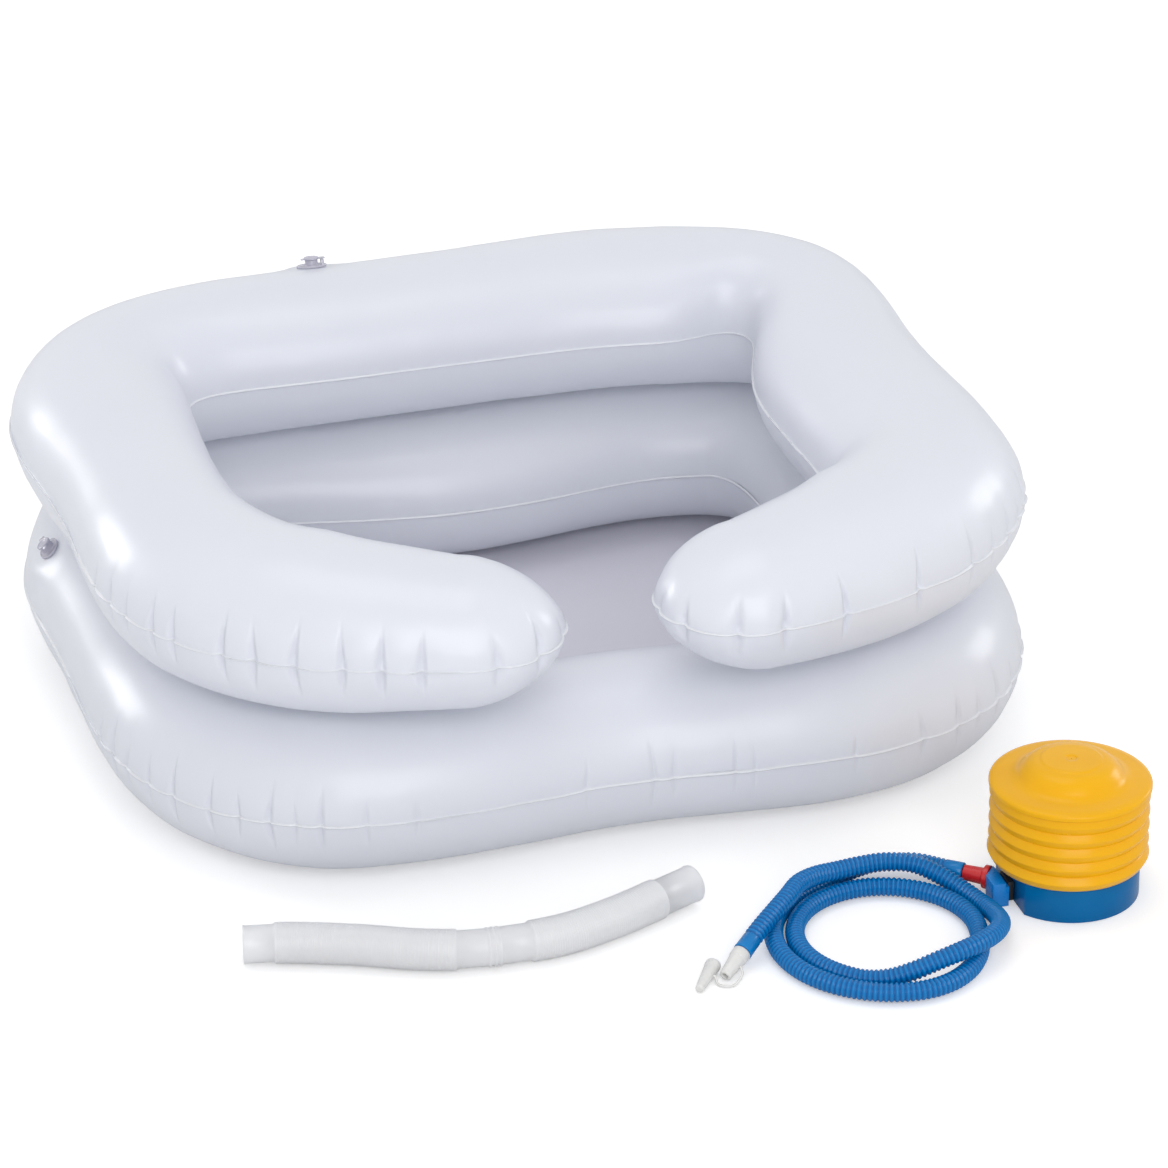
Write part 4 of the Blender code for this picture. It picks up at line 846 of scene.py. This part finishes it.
def film_chamber(name, outline, leans, width, swells, seam_z, puckers, ends, tips=((), ())):
    """One chamber: a dome above and below the seam, from half sections that end in the flat weld."""
    looped = ends[1] - ends[0] > 6
    angles, places, puckers = spread_stations(outline, leans, width, *ends, puckers, tips)
    shares = np.ones(len(places)) if looped else arm_share(places)
    widths = shares * (width + local_changes(swells, angles))
    middles, outward, heading = film_sections(outline, leans, widths, angles)
    count = len(middles) - 1 if looped else len(middles)
    verts = [(*middles[i], seam_z + FILM_RISE * shares[i]) for i in range(count)]
    verts += [(*middles[i], seam_z - FILM_RISE * shares[i]) for i in range(count)]
    weld_share = [0.0] * len(verts)
    faces = []
    out, up, away = section_columns(width / 2, FILM_RISE)
    steep, flat = out / (width / 2) ** 2, up / FILM_RISE**2
    size = np.hypot(steep, flat)
    steep, flat = steep / size, flat / size
    for run in film_runs(middles, outward, heading, places, widths / 2, looped):
        centre = np.array([part[0] for part in run])
        aim = np.array([part[1] for part in run])
        crown = [part[3] for part in run]
        along = np.array([NO_SEAM if part[2] is None else part[2] for part in run])
        puckered = along > NO_SEAM
        slim = shares[crown][:, None]
        tip = np.array([part[4] for part in run])[:, None] ** 2
        longer = widths[crown][:, None] / width * (1 + TIP_LONGER_SHARE * tip)
        flatter = slim * (1 - TIP_FLATTER_SHARE * tip * (out / out[-1]))
        wander = np.array([noise(Vector((a * 38, seam_z * 9, 0))) * SEAM_WANDER for a in along]) * puckered
        sides = []
        for under in (False, True):
            depth = drawn_in(along, away, puckers, under) * puckered[:, None]
            across = out[None] * longer - depth * steep[None]
            height = up[None] * flatter - depth * flat[None]
            height = height * (-1 if under else 1) + wander[:, None] * np.exp(-away / 0.007)[None]
            sides.append((across, height))
        pull = drawn_in(along, np.array([0.0]), puckers, False)[:, 0] * puckered
        weld = []
        for reach, thick in ((0.1, 1), (0.9, 1), (1.0, 0), (0.9, -1), (0.1, -1)):
            edge = width / 2 * longer[:, 0] + WELD * reach - pull
            weld.append((edge, thick * WELD_HALF_THICKNESS + wander))
        parts = [sides[0], [np.stack(part, 1) for part in zip(*weld)], [side[:, ::-1] for side in sides[1]]]
        across, height = (np.concatenate([part[k] for part in parts], 1) for k in (0, 1))
        columns = across.shape[1]
        start = len(verts)
        points = np.empty((len(run), columns, 3))
        points[:, :, :2] = centre[:, None] + aim[:, None] * across[:, :, None]
        points[:, :, 2] = seam_z + height
        verts += points.reshape(-1, 3).tolist()
        marked = [0.0] * len(out) + [1.0] * len(weld) + [0.0] * len(out)
        weld_share += marked * len(run)
        for i in range(len(run)):
            n = (i + 1) % len(run)
            a, b = start + i * columns, start + n * columns
            for k in range(columns - 1):
                faces.append((a + k, a + k + 1, b + k + 1, b + k))
            top, low = crown[i], crown[n]
            if top == low:
                faces.append((top, a, b))
                faces.append((count + top, b + columns - 1, a + columns - 1))
            else:
                faces.append((top, a, b, low))
                faces.append((count + low, b + columns - 1, a + columns - 1, count + top))
    obj = skin_piece(name, verts, faces, settled)
    obj.data.attributes.new("weld", "FLOAT", "POINT").data.foreach_set("value", weld_share)
    return obj


upper_chamber = film_chamber(
    "upper_chamber_film", UPPER_OUTLINE, UPPER_LEANS, UPPER_WIDTH, UPPER_SWELLS, UPPER_SEAM_Z,
    UPPER_PUCKERS, (RIGHT_ARM, LEFT_ARM), (RIGHT_TIP_PUCKERS, LEFT_TIP_PUCKERS),
)
lower_chamber = film_chamber(
    "lower_chamber_film", LOWER_OUTLINE, LOWER_LEANS, LOWER_WIDTH, LOWER_SWELLS, LOWER_SEAM_Z,
    LOWER_PUCKERS, (0, 2 * math.pi),
)
film_finish, shader, place = finish_named(
    "pearl white film",
    coat_weight=0.20,
    coat_roughness=0.16,
    subsurface_weight=0.12,
    subsurface_radius=EVEN,
    subsurface_scale=0.005,
)
weld_mark = place.node("ShaderNodeAttribute", {"attribute_name": "weld"}, {}, 2)
tone = place.noise(9.0).colours((0.790, 0.812, 0.885, 1), (0.825, 0.845, 0.905, 1))
feed(shader, base_color=(weld_mark * 0.6).colours(tone, (0.90, 0.91, 0.95, 1)))
feed(shader, roughness=place.noise(24.0, 3.0) * 0.10 + 0.27 - weld_mark * 0.06)
light_through = place.node("ShaderNodeBsdfTranslucent", {}, {"Color": (0.93, 0.94, 0.97, 1)})
film_shader = Socket(place.tree, shader.outputs[0])
film_mixed = place.node("ShaderNodeMixShader", {}, {0: 0.20, 1: film_shader, 2: light_through})
place.tree.links.new(film_mixed.link, place.tree.nodes["Material Output"].inputs["Surface"])
rippled = place.noise(55.0) * 0.6 + place.noise(420.0) * 0.10
feed(shader, normal=rippled.bumped(0.16, 0.0012))
for obj, high_node, low_node in (
    (upper_chamber, "upper_chamber_top_sheet", "upper_chamber_bottom_sheet"),
    (lower_chamber, "lower_chamber_top_sheet", "lower_chamber_bottom_sheet"),
):
    obj.data.materials.append(film_finish)
    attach(obj, "kit")
    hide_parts(high_node, low_node)

# The inflation valves: clear soft vinyl, each moulded in one with its oval flange, which is welded to
# the film, its plug and the strap that the plug hangs by. The plug lies pushed in, as photographed.

VALVE_STEM_RADIUS = 0.0042
VALVE_BORE = 0.0026
VALVE_FOOT = 0.0003
VALVE_TOP = 0.0050
VALVE_DEPTH = 0.0060
FLANGE_RADIUS = 0.0100
VALVE_OVAL_SHARE = 0.72
PLUG_FOOT = 0.0053
PLUG_RADIUS = 0.0048
STRAP_HALF = 0.0020
STRAP_TOP = PLUG_FOOT + 0.0008
VALVE_SOFTNESS = 0.00015


def box_piece(name, low, high):
    """A box between two corners, with its place in its mesh."""
    bpy.ops.object.select_all(action="DESELECT")
    middle = [(a + b) / 2 for a, b in zip(low, high)]
    bpy.ops.mesh.primitive_cube_add(size=1.0, location=middle)
    obj = bpy.context.object
    obj.name = name
    obj.scale = [b - a for a, b in zip(low, high)]
    bpy.ops.object.transform_apply(location=True, rotation=True, scale=True)
    return obj


def worked(obj, operation, other):
    """Cut another shape out of a piece or weld it on, and take that shape away."""
    step = obj.modifiers.new(operation, "BOOLEAN")
    step.operation = operation
    step.solver = "EXACT"
    step.object = other
    pick(obj)
    bpy.ops.object.modifier_apply(modifier=step.name)
    bpy.data.objects.remove(other)


def softened(obj, width, degrees=35, segments=2):
    """Round a piece's sharp edges a little, as a mould leaves them."""
    step = obj.modifiers.new("mould radius", "BEVEL")
    step.width = width
    step.segments = segments
    step.limit_method = "ANGLE"
    step.angle_limit = math.radians(degrees)
    pick(obj)
    bpy.ops.object.modifier_apply(modifier=step.name)
    smooth_sharp(obj, 50)


def valve_stem_piece(prefix):
    """The stem with its oval flange, and the small post that the plug's strap grows from."""
    obj = lathe(prefix + "_valve_seat", rounded([
        (VALVE_BORE, -VALVE_DEPTH),
        (VALVE_STEM_RADIUS, -VALVE_DEPTH),
        (VALVE_STEM_RADIUS, VALVE_FOOT),
        (FLANGE_RADIUS, VALVE_FOOT),
        (FLANGE_RADIUS, VALVE_FOOT + 0.0011),
        (0.0093, VALVE_FOOT + 0.0015),
        (0.0086, VALVE_FOOT + 0.0010),
        (VALVE_STEM_RADIUS + 0.0006, VALVE_FOOT + 0.0009),
        (VALVE_STEM_RADIUS, VALVE_FOOT + 0.0014),
        (VALVE_STEM_RADIUS, VALVE_TOP),
        (VALVE_BORE, VALVE_TOP),
        (VALVE_BORE, -VALVE_DEPTH),
    ], 0.0003), 56, True)
    bpy.ops.object.mode_set(mode="EDIT")
    bpy.ops.mesh.select_all(action="DESELECT")
    edited = bmesh.from_edit_mesh(obj.data)
    for vert in edited.verts:
        vert.select = math.hypot(vert.co.x, vert.co.y) > VALVE_STEM_RADIUS + 0.0010
    edited.select_flush(True)
    bpy.ops.transform.resize(value=(1, VALVE_OVAL_SHARE, 1), center_override=(0, 0, 0))
    bpy.ops.object.mode_set(mode="OBJECT")
    post = box_piece("post", (0.0063, -STRAP_HALF, 0.0008), (0.0081, STRAP_HALF, 0.0047))
    worked(obj, "UNION", post)
    softened(obj, VALVE_SOFTNESS)
    return obj


def valve_plug_piece(prefix):
    """The plug with its strap on one side and a small tab to pull it by on the other."""
    obj = lathe(prefix + "_valve_stopper", rounded([
        (0.0004, PLUG_FOOT - 0.0026),
        (0.0015, PLUG_FOOT - 0.0026),
        (0.0021, PLUG_FOOT),
        (PLUG_RADIUS, PLUG_FOOT),
        (PLUG_RADIUS, PLUG_FOOT + 0.0014),
        (0.0040, PLUG_FOOT + 0.0017),
        (0.0026, PLUG_FOOT + 0.0011),
        (0.0004, PLUG_FOOT + 0.0011),
    ], 0.0003), 56)
    for name, start, end, half in (("strap", 0.0040, 0.0088, STRAP_HALF), ("tab", -0.0068, -0.0040, 0.0013)):
        worked(obj, "UNION", box_piece(name, (start, -half, PLUG_FOOT), (end, half, STRAP_TOP)))
    softened(obj, VALVE_SOFTNESS)
    return obj


valve_finish, shader, place = moulded(
    "clear soft vinyl",
    (180.0, (0.60, 0.59, 0.71, 1), (0.72, 0.71, 0.81, 1)),
    (500.0, 0.10, 0.07),
    transmission_weight=0.35,
)
flap_finish, shader, place = moulded(
    "thin valve film",
    (300.0, (0.70, 0.71, 0.76, 1), (0.78, 0.79, 0.83, 1)),
    (600.0, 0.15, 0.27),
)
feed(shader, normal=place.noise(900.0).bumped(0.08, 0.0002))
for prefix, valve in VALVE_PLACES.items():
    for obj, node, body in (
        (valve_stem_piece(prefix), prefix + "_valve_stem", "kit"),
        (valve_plug_piece(prefix), prefix + "_valve_plug", prefix + "_plug"),
    ):
        put_at(obj, valve)
        obj.data.materials.append(valve_finish)
        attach(obj, body)
        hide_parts(node)
    frame["nodes"][prefix + "_valve_flap"].material_slots[0].material = flap_finish

# The floor: one flat sheet of the same film, its colour painted a little greyer as painted shade, welded
# under the lower chamber along its foot. It lies on the ground in faint waves, with a hole for the drain.

FLOOR_HOLE = 0.0113
FLOOR_UNDER_WELD = 0.0030
FLOOR_SIDES = 180
FLOOR_RINGS = (0, 0.02, 0.05, 0.10, 0.16, 0.23, 0.31, 0.40, 0.49, 0.58, 0.67, 0.76, 0.84, 0.90, 0.95, 1)
FLOOR_WAVE = 0.0016
FLOOR_MIDDLE = 0.00035
FLOOR_THICKNESS = 0.0006
DRAIN_PLACE = Vector((-0.100, -0.055, 0))
floor_turns = np.linspace(0, 2 * math.pi, FLOOR_SIDES + 1)[:-1]
floor_middles, floor_outward, _ = film_sections(LOWER_OUTLINE, LOWER_LEANS, LOWER_WIDTH, floor_turns)
floor_rim = floor_middles + floor_outward * FLOOR_UNDER_WELD
floor_from_drain = floor_rim - np.array(DRAIN_PLACE[:2])
floor_aim = np.arctan2(floor_from_drain[:, 1], floor_from_drain[:, 0])
floor_hole = np.array(DRAIN_PLACE[:2]) + FLOOR_HOLE * np.stack([np.cos(floor_aim), np.sin(floor_aim)], 1)
floor_verts, floor_faces = [], []
for share in FLOOR_RINGS:
    for inner_point, outer_point in zip(floor_hole, floor_rim):
        x, y = inner_point * (1 - share) + outer_point * share
        loose = min(1, share * 12) * min(1, (1 - share) * 5)
        lift = (0.5 + 0.5 * noise(Vector((x * 13, y * 13, 0.4)))) * FLOOR_WAVE * loose
        floor_verts.append((x, y, FLOOR_MIDDLE + lift))
for ring in range(len(FLOOR_RINGS) - 1):
    a, b = ring * FLOOR_SIDES, (ring + 1) * FLOOR_SIDES
    for k in range(FLOOR_SIDES):
        n = (k + 1) % FLOOR_SIDES
        floor_faces.append((a + k, b + k, b + n, a + n))
floor_mesh = bpy.data.meshes.new("floor_film")
floor_mesh.from_pydata(floor_verts, [], floor_faces)
floor_film = bpy.data.objects.new("floor_film", floor_mesh)
SCENE.collection.objects.link(floor_film)
pick(floor_film)
thickness = floor_film.modifiers.new("film thickness", "SOLIDIFY")
thickness.thickness = FLOOR_THICKNESS
thickness.offset = 0
bpy.ops.object.modifier_apply(modifier="film thickness")
for face in floor_film.data.polygons:
    face.use_smooth = True
# Painted shade: the floor film is coloured darker than the chamber film, for the shade that falls inside the
# basin, with a random tone from the noise.
shaded_floor_finish, shader, place = moulded(
    "grey floor film",
    (14.0, (0.70, 0.69, 0.77, 1), (0.74, 0.73, 0.80, 1)),
    (30.0, 0.12, 0.34),
    detail=3.0,
)
feed(shader, normal=place.noise(60.0).bumped(0.18, 0.001))
floor_film.data.materials.append(shaded_floor_finish)
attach(floor_film, "kit")
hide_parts("basin_floor_sheet")
floor_span = floor_rim.max(0) - floor_rim.min(0)
floor_next = np.roll(floor_rim, -1, 0)
floor_area = abs(np.sum(floor_rim[:, 0] * floor_next[:, 1] - floor_next[:, 0] * floor_rim[:, 1])) / 2

# The drain: a soft milky socket, pushed through the floor and welded to it by its flange, and a
# stopper that plugs into it and is pulled by its round grip. The drain hose fits the same bore.

DRAIN_FOOT = 0.0009
DRAIN_SOCKET_BORE = 0.0111
DRAIN_COLLAR_RADIUS = 0.0140
DRAIN_COLLAR_TOP = DRAIN_FOOT + 0.0060
DRAIN_SEAT = DRAIN_COLLAR_TOP + FITTING_GAP
DRAIN_FLANGE_RADIUS = 0.0200
DRAIN_WELD_RADIUS = 0.0150
STOPPER_DEPTH = 0.0045
STOPPER_GRIP_TOP = DRAIN_SEAT + 0.0080

drain_socket = lathe("drain_socket_ring", rounded([
    (DRAIN_WELD_RADIUS, DRAIN_FOOT),
    (DRAIN_FLANGE_RADIUS, DRAIN_FOOT),
    (DRAIN_FLANGE_RADIUS, DRAIN_FOOT + 0.0011),
    (0.0160, DRAIN_FOOT + 0.0015),
    (DRAIN_COLLAR_RADIUS, DRAIN_FOOT + 0.0015),
    (DRAIN_COLLAR_RADIUS, DRAIN_COLLAR_TOP),
    (DRAIN_SOCKET_BORE, DRAIN_COLLAR_TOP),
    (DRAIN_SOCKET_BORE, DRAIN_FOOT),
    (DRAIN_WELD_RADIUS, DRAIN_FOOT),
], 0.0005), 72, True)
drain_stopper = lathe("drain_stopper_plug", rounded([
    (0.0004, DRAIN_SEAT - STOPPER_DEPTH),
    (DRAIN_SOCKET_BORE - 0.0006, DRAIN_SEAT - STOPPER_DEPTH),
    (DRAIN_SOCKET_BORE - 0.0003, DRAIN_SEAT),
    (DRAIN_COLLAR_RADIUS, DRAIN_SEAT),
    (DRAIN_COLLAR_RADIUS, DRAIN_SEAT + 0.0020),
    (0.0050, DRAIN_SEAT + 0.0020),
    (0.0030, DRAIN_SEAT + 0.0034),
    (0.0032, DRAIN_SEAT + 0.0050),
    (0.0040, DRAIN_SEAT + 0.0060),
    (0.0040, DRAIN_SEAT + 0.0072),
    (0.0028, STOPPER_GRIP_TOP),
    (0.0004, STOPPER_GRIP_TOP),
], 0.0006), 72)
for obj, node, body in (
    (drain_socket, "drain_socket", "kit"),
    (drain_stopper, "drain_stopper", "stopper"),
):
    set_down(obj, DRAIN_PLACE, UPWARDS)
    smooth_sharp(obj, 40)
    obj.data.materials.append(milky_finish)
    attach(obj, body)
    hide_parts(node)

# The pump's base: an injection-moulded cup in glossy blue, round under the bellows and cut flat
# below its shelf on the outlet's side. Air comes in by a port at the right and leaves at the left.

BASE_RADIUS = 0.0420
BASE_FLAT = 0.0350
BASE_HEIGHT = 0.0216
BASE_SHELF = 0.0016
BASE_WALL = 0.0025
OUTLET_Y = PUMP_Y - 0.0007
OUTLET_Z = 0.0072
INLET_Z = 0.0080
PORT_RADIUS = 0.0036
PORT_CUT = 0.0065
CUT_OVERRUN = 0.002
RIGHTWARDS = Vector((1, 0, 0))
PUMP_FOOT = Vector((PUMP_X, PUMP_Y, 0))


def cut_off(place, facing):
    """Cut away what lies beyond a plane from the piece just made, and close the cut."""
    bpy.ops.object.mode_set(mode="EDIT")
    bpy.ops.mesh.select_all(action="SELECT")
    bpy.ops.mesh.bisect(plane_co=place, plane_no=facing, use_fill=True, clear_outer=True)
    bpy.ops.object.mode_set(mode="OBJECT")


def rod_piece(name, start, axis, radius, length, sides=48):
    """A round rod from a start along an axis, with its place in its mesh."""
    bpy.ops.object.select_all(action="DESELECT")
    turn = axis.to_track_quat("Z", "Y").to_euler()
    middle = start + axis * (length / 2)
    bpy.ops.mesh.primitive_cylinder_add(
        vertices=sides, radius=radius, depth=length, location=middle, rotation=turn
    )
    obj = bpy.context.object
    obj.name = name
    bpy.ops.object.transform_apply(location=True, rotation=True, scale=True)
    return obj


pump_cup = rod_piece("pump_base_cup", PUMP_FOOT, UPWARDS, BASE_RADIUS, BASE_HEIGHT - BASE_SHELF / 2, 128)
cut_off((PUMP_X - BASE_FLAT, PUMP_Y, 0), (-1, 0, 0))
shelf_foot = PUMP_FOOT + UPWARDS * (BASE_HEIGHT - BASE_SHELF)
worked(pump_cup, "UNION", rod_piece("pump shelf", shelf_foot, UPWARDS, BASE_RADIUS - 1e-5, BASE_SHELF, 128))
inside_foot = PUMP_FOOT + UPWARDS * BASE_WALL
inside = rod_piece("cup inside", inside_foot, UPWARDS, BASE_RADIUS - BASE_WALL, BASE_HEIGHT, 128)
cut_off((PUMP_X - BASE_FLAT + BASE_WALL, PUMP_Y, 0), (-1, 0, 0))
worked(pump_cup, "DIFFERENCE", inside)
for port_name, x, y, z in (
    ("outlet port", PUMP_X - BASE_FLAT - CUT_OVERRUN, OUTLET_Y, OUTLET_Z),
    ("inlet port", PUMP_X + BASE_RADIUS - BASE_WALL - CUT_OVERRUN, PUMP_Y, INLET_Z),
):
    port = rod_piece(port_name, Vector((x, y, z)), RIGHTWARDS, PORT_RADIUS, PORT_CUT)
    worked(pump_cup, "DIFFERENCE", port)
softened(pump_cup, 0.0006)
blue_finish, shader, place = moulded(
    "blue moulded plastic",
    (60.0, (0.000, 0.118, 0.330, 1), (0.001, 0.142, 0.385, 1)),
    (260.0, 0.12, 0.16),
    detail=3.0,
    specular_ior_level=0.14,
)
feed(shader, normal=place.noise(50.0, 1.0).bumped(0.08, 0.0005))
pump_cup.data.materials.append(blue_finish)
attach(pump_cup, "kit")
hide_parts("pump_base")

# The bellows: soft yellow vinyl blown with five pleats. Its foot is welded to the base's shelf and
# its top to the plate. The real one folds up as the plate is pressed and springs back by itself; here it is
# made standing.

BELLOWS_CREST = 0.0463
BELLOWS_VALLEY = 0.0440
BELLOWS_WALL = 0.0014
BELLOWS_FOOT = BASE_HEIGHT + FITTING_GAP
BELLOWS_LIP = 0.0398
BELLOWS_PITCH = 0.0092
PLEAT_COUNT = 5
PLEAT_SHARES = (0, 0.03, 0.10, 0.22, 0.36, 0.46, 0.50, 0.54, 0.64, 0.78, 0.90, 0.97)
PLATE_EDGE = 0.0458

outer_wall, inner_wall = [], []
for pleat in range(PLEAT_COUNT):
    crest = BELLOWS_CREST + (0.0005 if pleat == 0 else 0)
    last = pleat == PLEAT_COUNT - 1
    for share in PLEAT_SHARES:
        swell = (1 - abs(2 * share - 1)) ** 0.75
        valley = PLATE_EDGE - 0.0004 if last and share > 0.5 else BELLOWS_VALLEY
        wall_radius = valley + (crest - valley) * swell
        wall_height = BELLOWS_FOOT + (pleat + share) * BELLOWS_PITCH
        outer_wall.append((wall_radius, wall_height))
        inner_wall.append((wall_radius - BELLOWS_WALL, wall_height))
bellows_top = BELLOWS_FOOT + PLEAT_COUNT * BELLOWS_PITCH
outer_wall.append((PLATE_EDGE - 0.0003, bellows_top))
inner_wall.append((PLATE_EDGE - 0.0028, bellows_top))
inner_wall[0] = (BELLOWS_VALLEY - BELLOWS_WALL, BELLOWS_FOOT + BELLOWS_WALL)
inner_wall[1:3] = []
bellows_lip = [(BELLOWS_LIP, BELLOWS_FOOT + BELLOWS_WALL), (BELLOWS_LIP, BELLOWS_FOOT)]
bellows = lathe("pump_bellows_skin", outer_wall + inner_wall[::-1] + bellows_lip + outer_wall[:1], 112, True)
set_down(bellows, PUMP_FOOT, UPWARDS)
smooth_sharp(bellows, 60)
yellow_finish, shader, place = moulded(
    "yellow soft plastic",
    (50.0, (0.820, 0.410, 0.004, 1), (0.880, 0.460, 0.006, 1)),
    (60.0, 0.10, 0.20),
    specular_ior_level=0.22,
)
feed(shader, normal=place.noise(45.0, 1.0).bumped(0.10, 0.0006))
bellows.data.materials.append(yellow_finish)
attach(bellows, "kit")
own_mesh(bellows)
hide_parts("pump_bellows")

# The plate that the foot presses: a thin yellow moulding, flaring from a low dome out to a rounded
# rim, hollow below, with the small round mark of its mould's gate in the middle of the dome.

PLATE_FOOT = bellows_top + FITTING_GAP
PLATE_RADIUS = 0.0470
PLATE_WALL = 0.0018
PLATE_INSIDE = 0.0438
GATE_FLOOR = 0.0163
NEAR_AXIS = 0.0004

plate_curve = curve_through([Vector(p) for p in (
    (0.0472, 0.0018), (0.0462, 0.0036), (0.0430, 0.0046), (0.0385, 0.0050), (0.0348, 0.0055),
    (0.0314, 0.0071), (0.0284, 0.0105), (0.0252, 0.0135), (0.0218, 0.0152), (0.0184, 0.0159),
    (0.0166, 0.0165), (0.0100, 0.0167), (0.0032, 0.0168),
)], 4)
plate_outside = [(0.0462, 0.0), (PLATE_RADIUS, 0.0006)]
plate_outside += [(min(p.x, PLATE_RADIUS), p.y) for p in plate_curve]
plate_outside += [(0.0030, 0.0166), (0.0028, GATE_FLOOR), (0.0012, GATE_FLOOR), (NEAR_AXIS, GATE_FLOOR)]
plate_inside = [(max(NEAR_AXIS, p.x - PLATE_WALL), max(0.0, p.y - PLATE_WALL)) for p in plate_curve[2:-1]]
plate_profile = [(PLATE_INSIDE, 0.0), *plate_outside, (NEAR_AXIS, 0.0146), *plate_inside[::-1]]
plate_profile = [(r, z + PLATE_FOOT) for r, z in [*plate_profile, (PLATE_INSIDE, 0.0)]]
treadle_plate = lathe("pump_plate_shell", plate_profile, 112, True)
set_down(treadle_plate, PUMP_FOOT, UPWARDS)
smooth_sharp(treadle_plate, 50)
treadle_plate.data.materials.append(yellow_finish)
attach(treadle_plate, "treadle")
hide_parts("pump_top_plate")

# The outlet: a black rubber sleeve on the base's flat side, then a stepped blue block that turns the
# air toward the hose, and the red connector that is pressed into it, with a flange and a barb.

GASKET_THICKNESS = 0.0042
GASKET_HALF = 0.0072
GASKET_RIGHT = PUMP_X - BASE_FLAT - FITTING_GAP
BLOCK_RIGHT = GASKET_RIGHT - GASKET_THICKNESS - FITTING_GAP
BLOCK_LEFT = BLOCK_RIGHT - 0.0097
BLOCK_FRONT = PUMP_Y - 0.0112
BLOCK_BACK = BLOCK_FRONT + 0.0240
BLOCK_TOP = 0.0150
BLOCK_STEP = 0.0019
BLOCK_STEP_TOP = 0.0125
CHAMBER_RADIUS = 0.0044
CONNECTOR_PORT = 0.0028
CONNECTOR_BORE = 0.0015

gasket = box_piece(
    "pump_gasket_sleeve",
    (GASKET_RIGHT - GASKET_THICKNESS, OUTLET_Y - GASKET_HALF, 0.0010),
    (GASKET_RIGHT, OUTLET_Y + GASKET_HALF, 0.0134),
)
sleeve_start = Vector((GASKET_RIGHT - GASKET_THICKNESS - CUT_OVERRUN, OUTLET_Y, OUTLET_Z))
sleeve_bore = rod_piece("sleeve bore", sleeve_start, RIGHTWARDS, PORT_RADIUS, 0.0082)
worked(gasket, "DIFFERENCE", sleeve_bore)
softened(gasket, 0.0007)
block = box_piece("pump_outlet_housing", (BLOCK_LEFT, BLOCK_FRONT, 0), (BLOCK_RIGHT, BLOCK_BACK, BLOCK_TOP))
cut_off((BLOCK_RIGHT, BLOCK_BACK, 0), CONNECTOR_AXIS)
step_cutter = box_piece(
    "step",
    (BLOCK_RIGHT - BLOCK_STEP, BLOCK_FRONT - CUT_OVERRUN, BLOCK_STEP_TOP),
    (BLOCK_RIGHT + CUT_OVERRUN, BLOCK_BACK + CUT_OVERRUN, BLOCK_TOP + CUT_OVERRUN),
)
worked(block, "DIFFERENCE", step_cutter)
chamber_start = Vector((BLOCK_RIGHT - 0.0050, OUTLET_Y, OUTLET_Z))
worked(block, "DIFFERENCE", rod_piece("valve chamber", chamber_start, RIGHTWARDS, CHAMBER_RADIUS, 0.0070))
port_start = CONNECTOR_SEAT - CONNECTOR_AXIS * 0.0036
connector_port = rod_piece("connector port", port_start, CONNECTOR_AXIS, CONNECTOR_PORT, 0.0060, 32)
worked(block, "DIFFERENCE", connector_port)
softened(block, 0.0007)
connector = lathe("hose_connector_barb", rounded([
    (CONNECTOR_BORE, -0.0030),
    (0.0025, -0.0030),
    (0.0025, FITTING_GAP),
    (0.0070, FITTING_GAP),
    (0.0070, 0.0035),
    (0.0062, 0.0038),
    (0.0050, 0.0042),
    (0.0046, CONNECTOR_TUBE),
    (0.0033, CONNECTOR_TUBE),
    (0.0033, 0.0176),
    (0.0030, 0.0240),
    (CONNECTOR_BORE, 0.0240),
    (CONNECTOR_BORE, -0.0030),
], 0.0005), 48, True)
set_down(connector, CONNECTOR_SEAT, CONNECTOR_AXIS)
smooth_sharp(connector, 45)
black_finish, shader, place = moulded(
    "black rubber",
    (90.0, (0.010, 0.010, 0.012, 1), (0.022, 0.022, 0.025, 1)),
    (400.0, 0.2, 0.42),
)
bright_blue_finish, shader, place = moulded(
    "bright blue plastic",
    (90.0, (0.000, 0.200, 0.620, 1), (0.004, 0.240, 0.690, 1)),
    (400.0, 0.14, 0.22),
)
red_finish, shader, place = moulded(
    "red plastic",
    (90.0, (0.560, 0.016, 0.020, 1), (0.640, 0.024, 0.028, 1)),
    (400.0, 0.14, 0.22),
)
for obj, finish, node, colour_slot in (
    (gasket, black_finish, "pump_gasket", "black_rubber"),
    (block, bright_blue_finish, "pump_outlet_block", "bright_blue_plastic"),
    (connector, red_finish, "hose_connector", "red_plastic"),
):
    obj.data.materials.append(finish)
    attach(obj, "kit")
    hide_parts(node)

for node in ("pump_inlet_flap", "pump_outlet_flap"):
    frame["nodes"][node].material_slots[0].material = black_finish
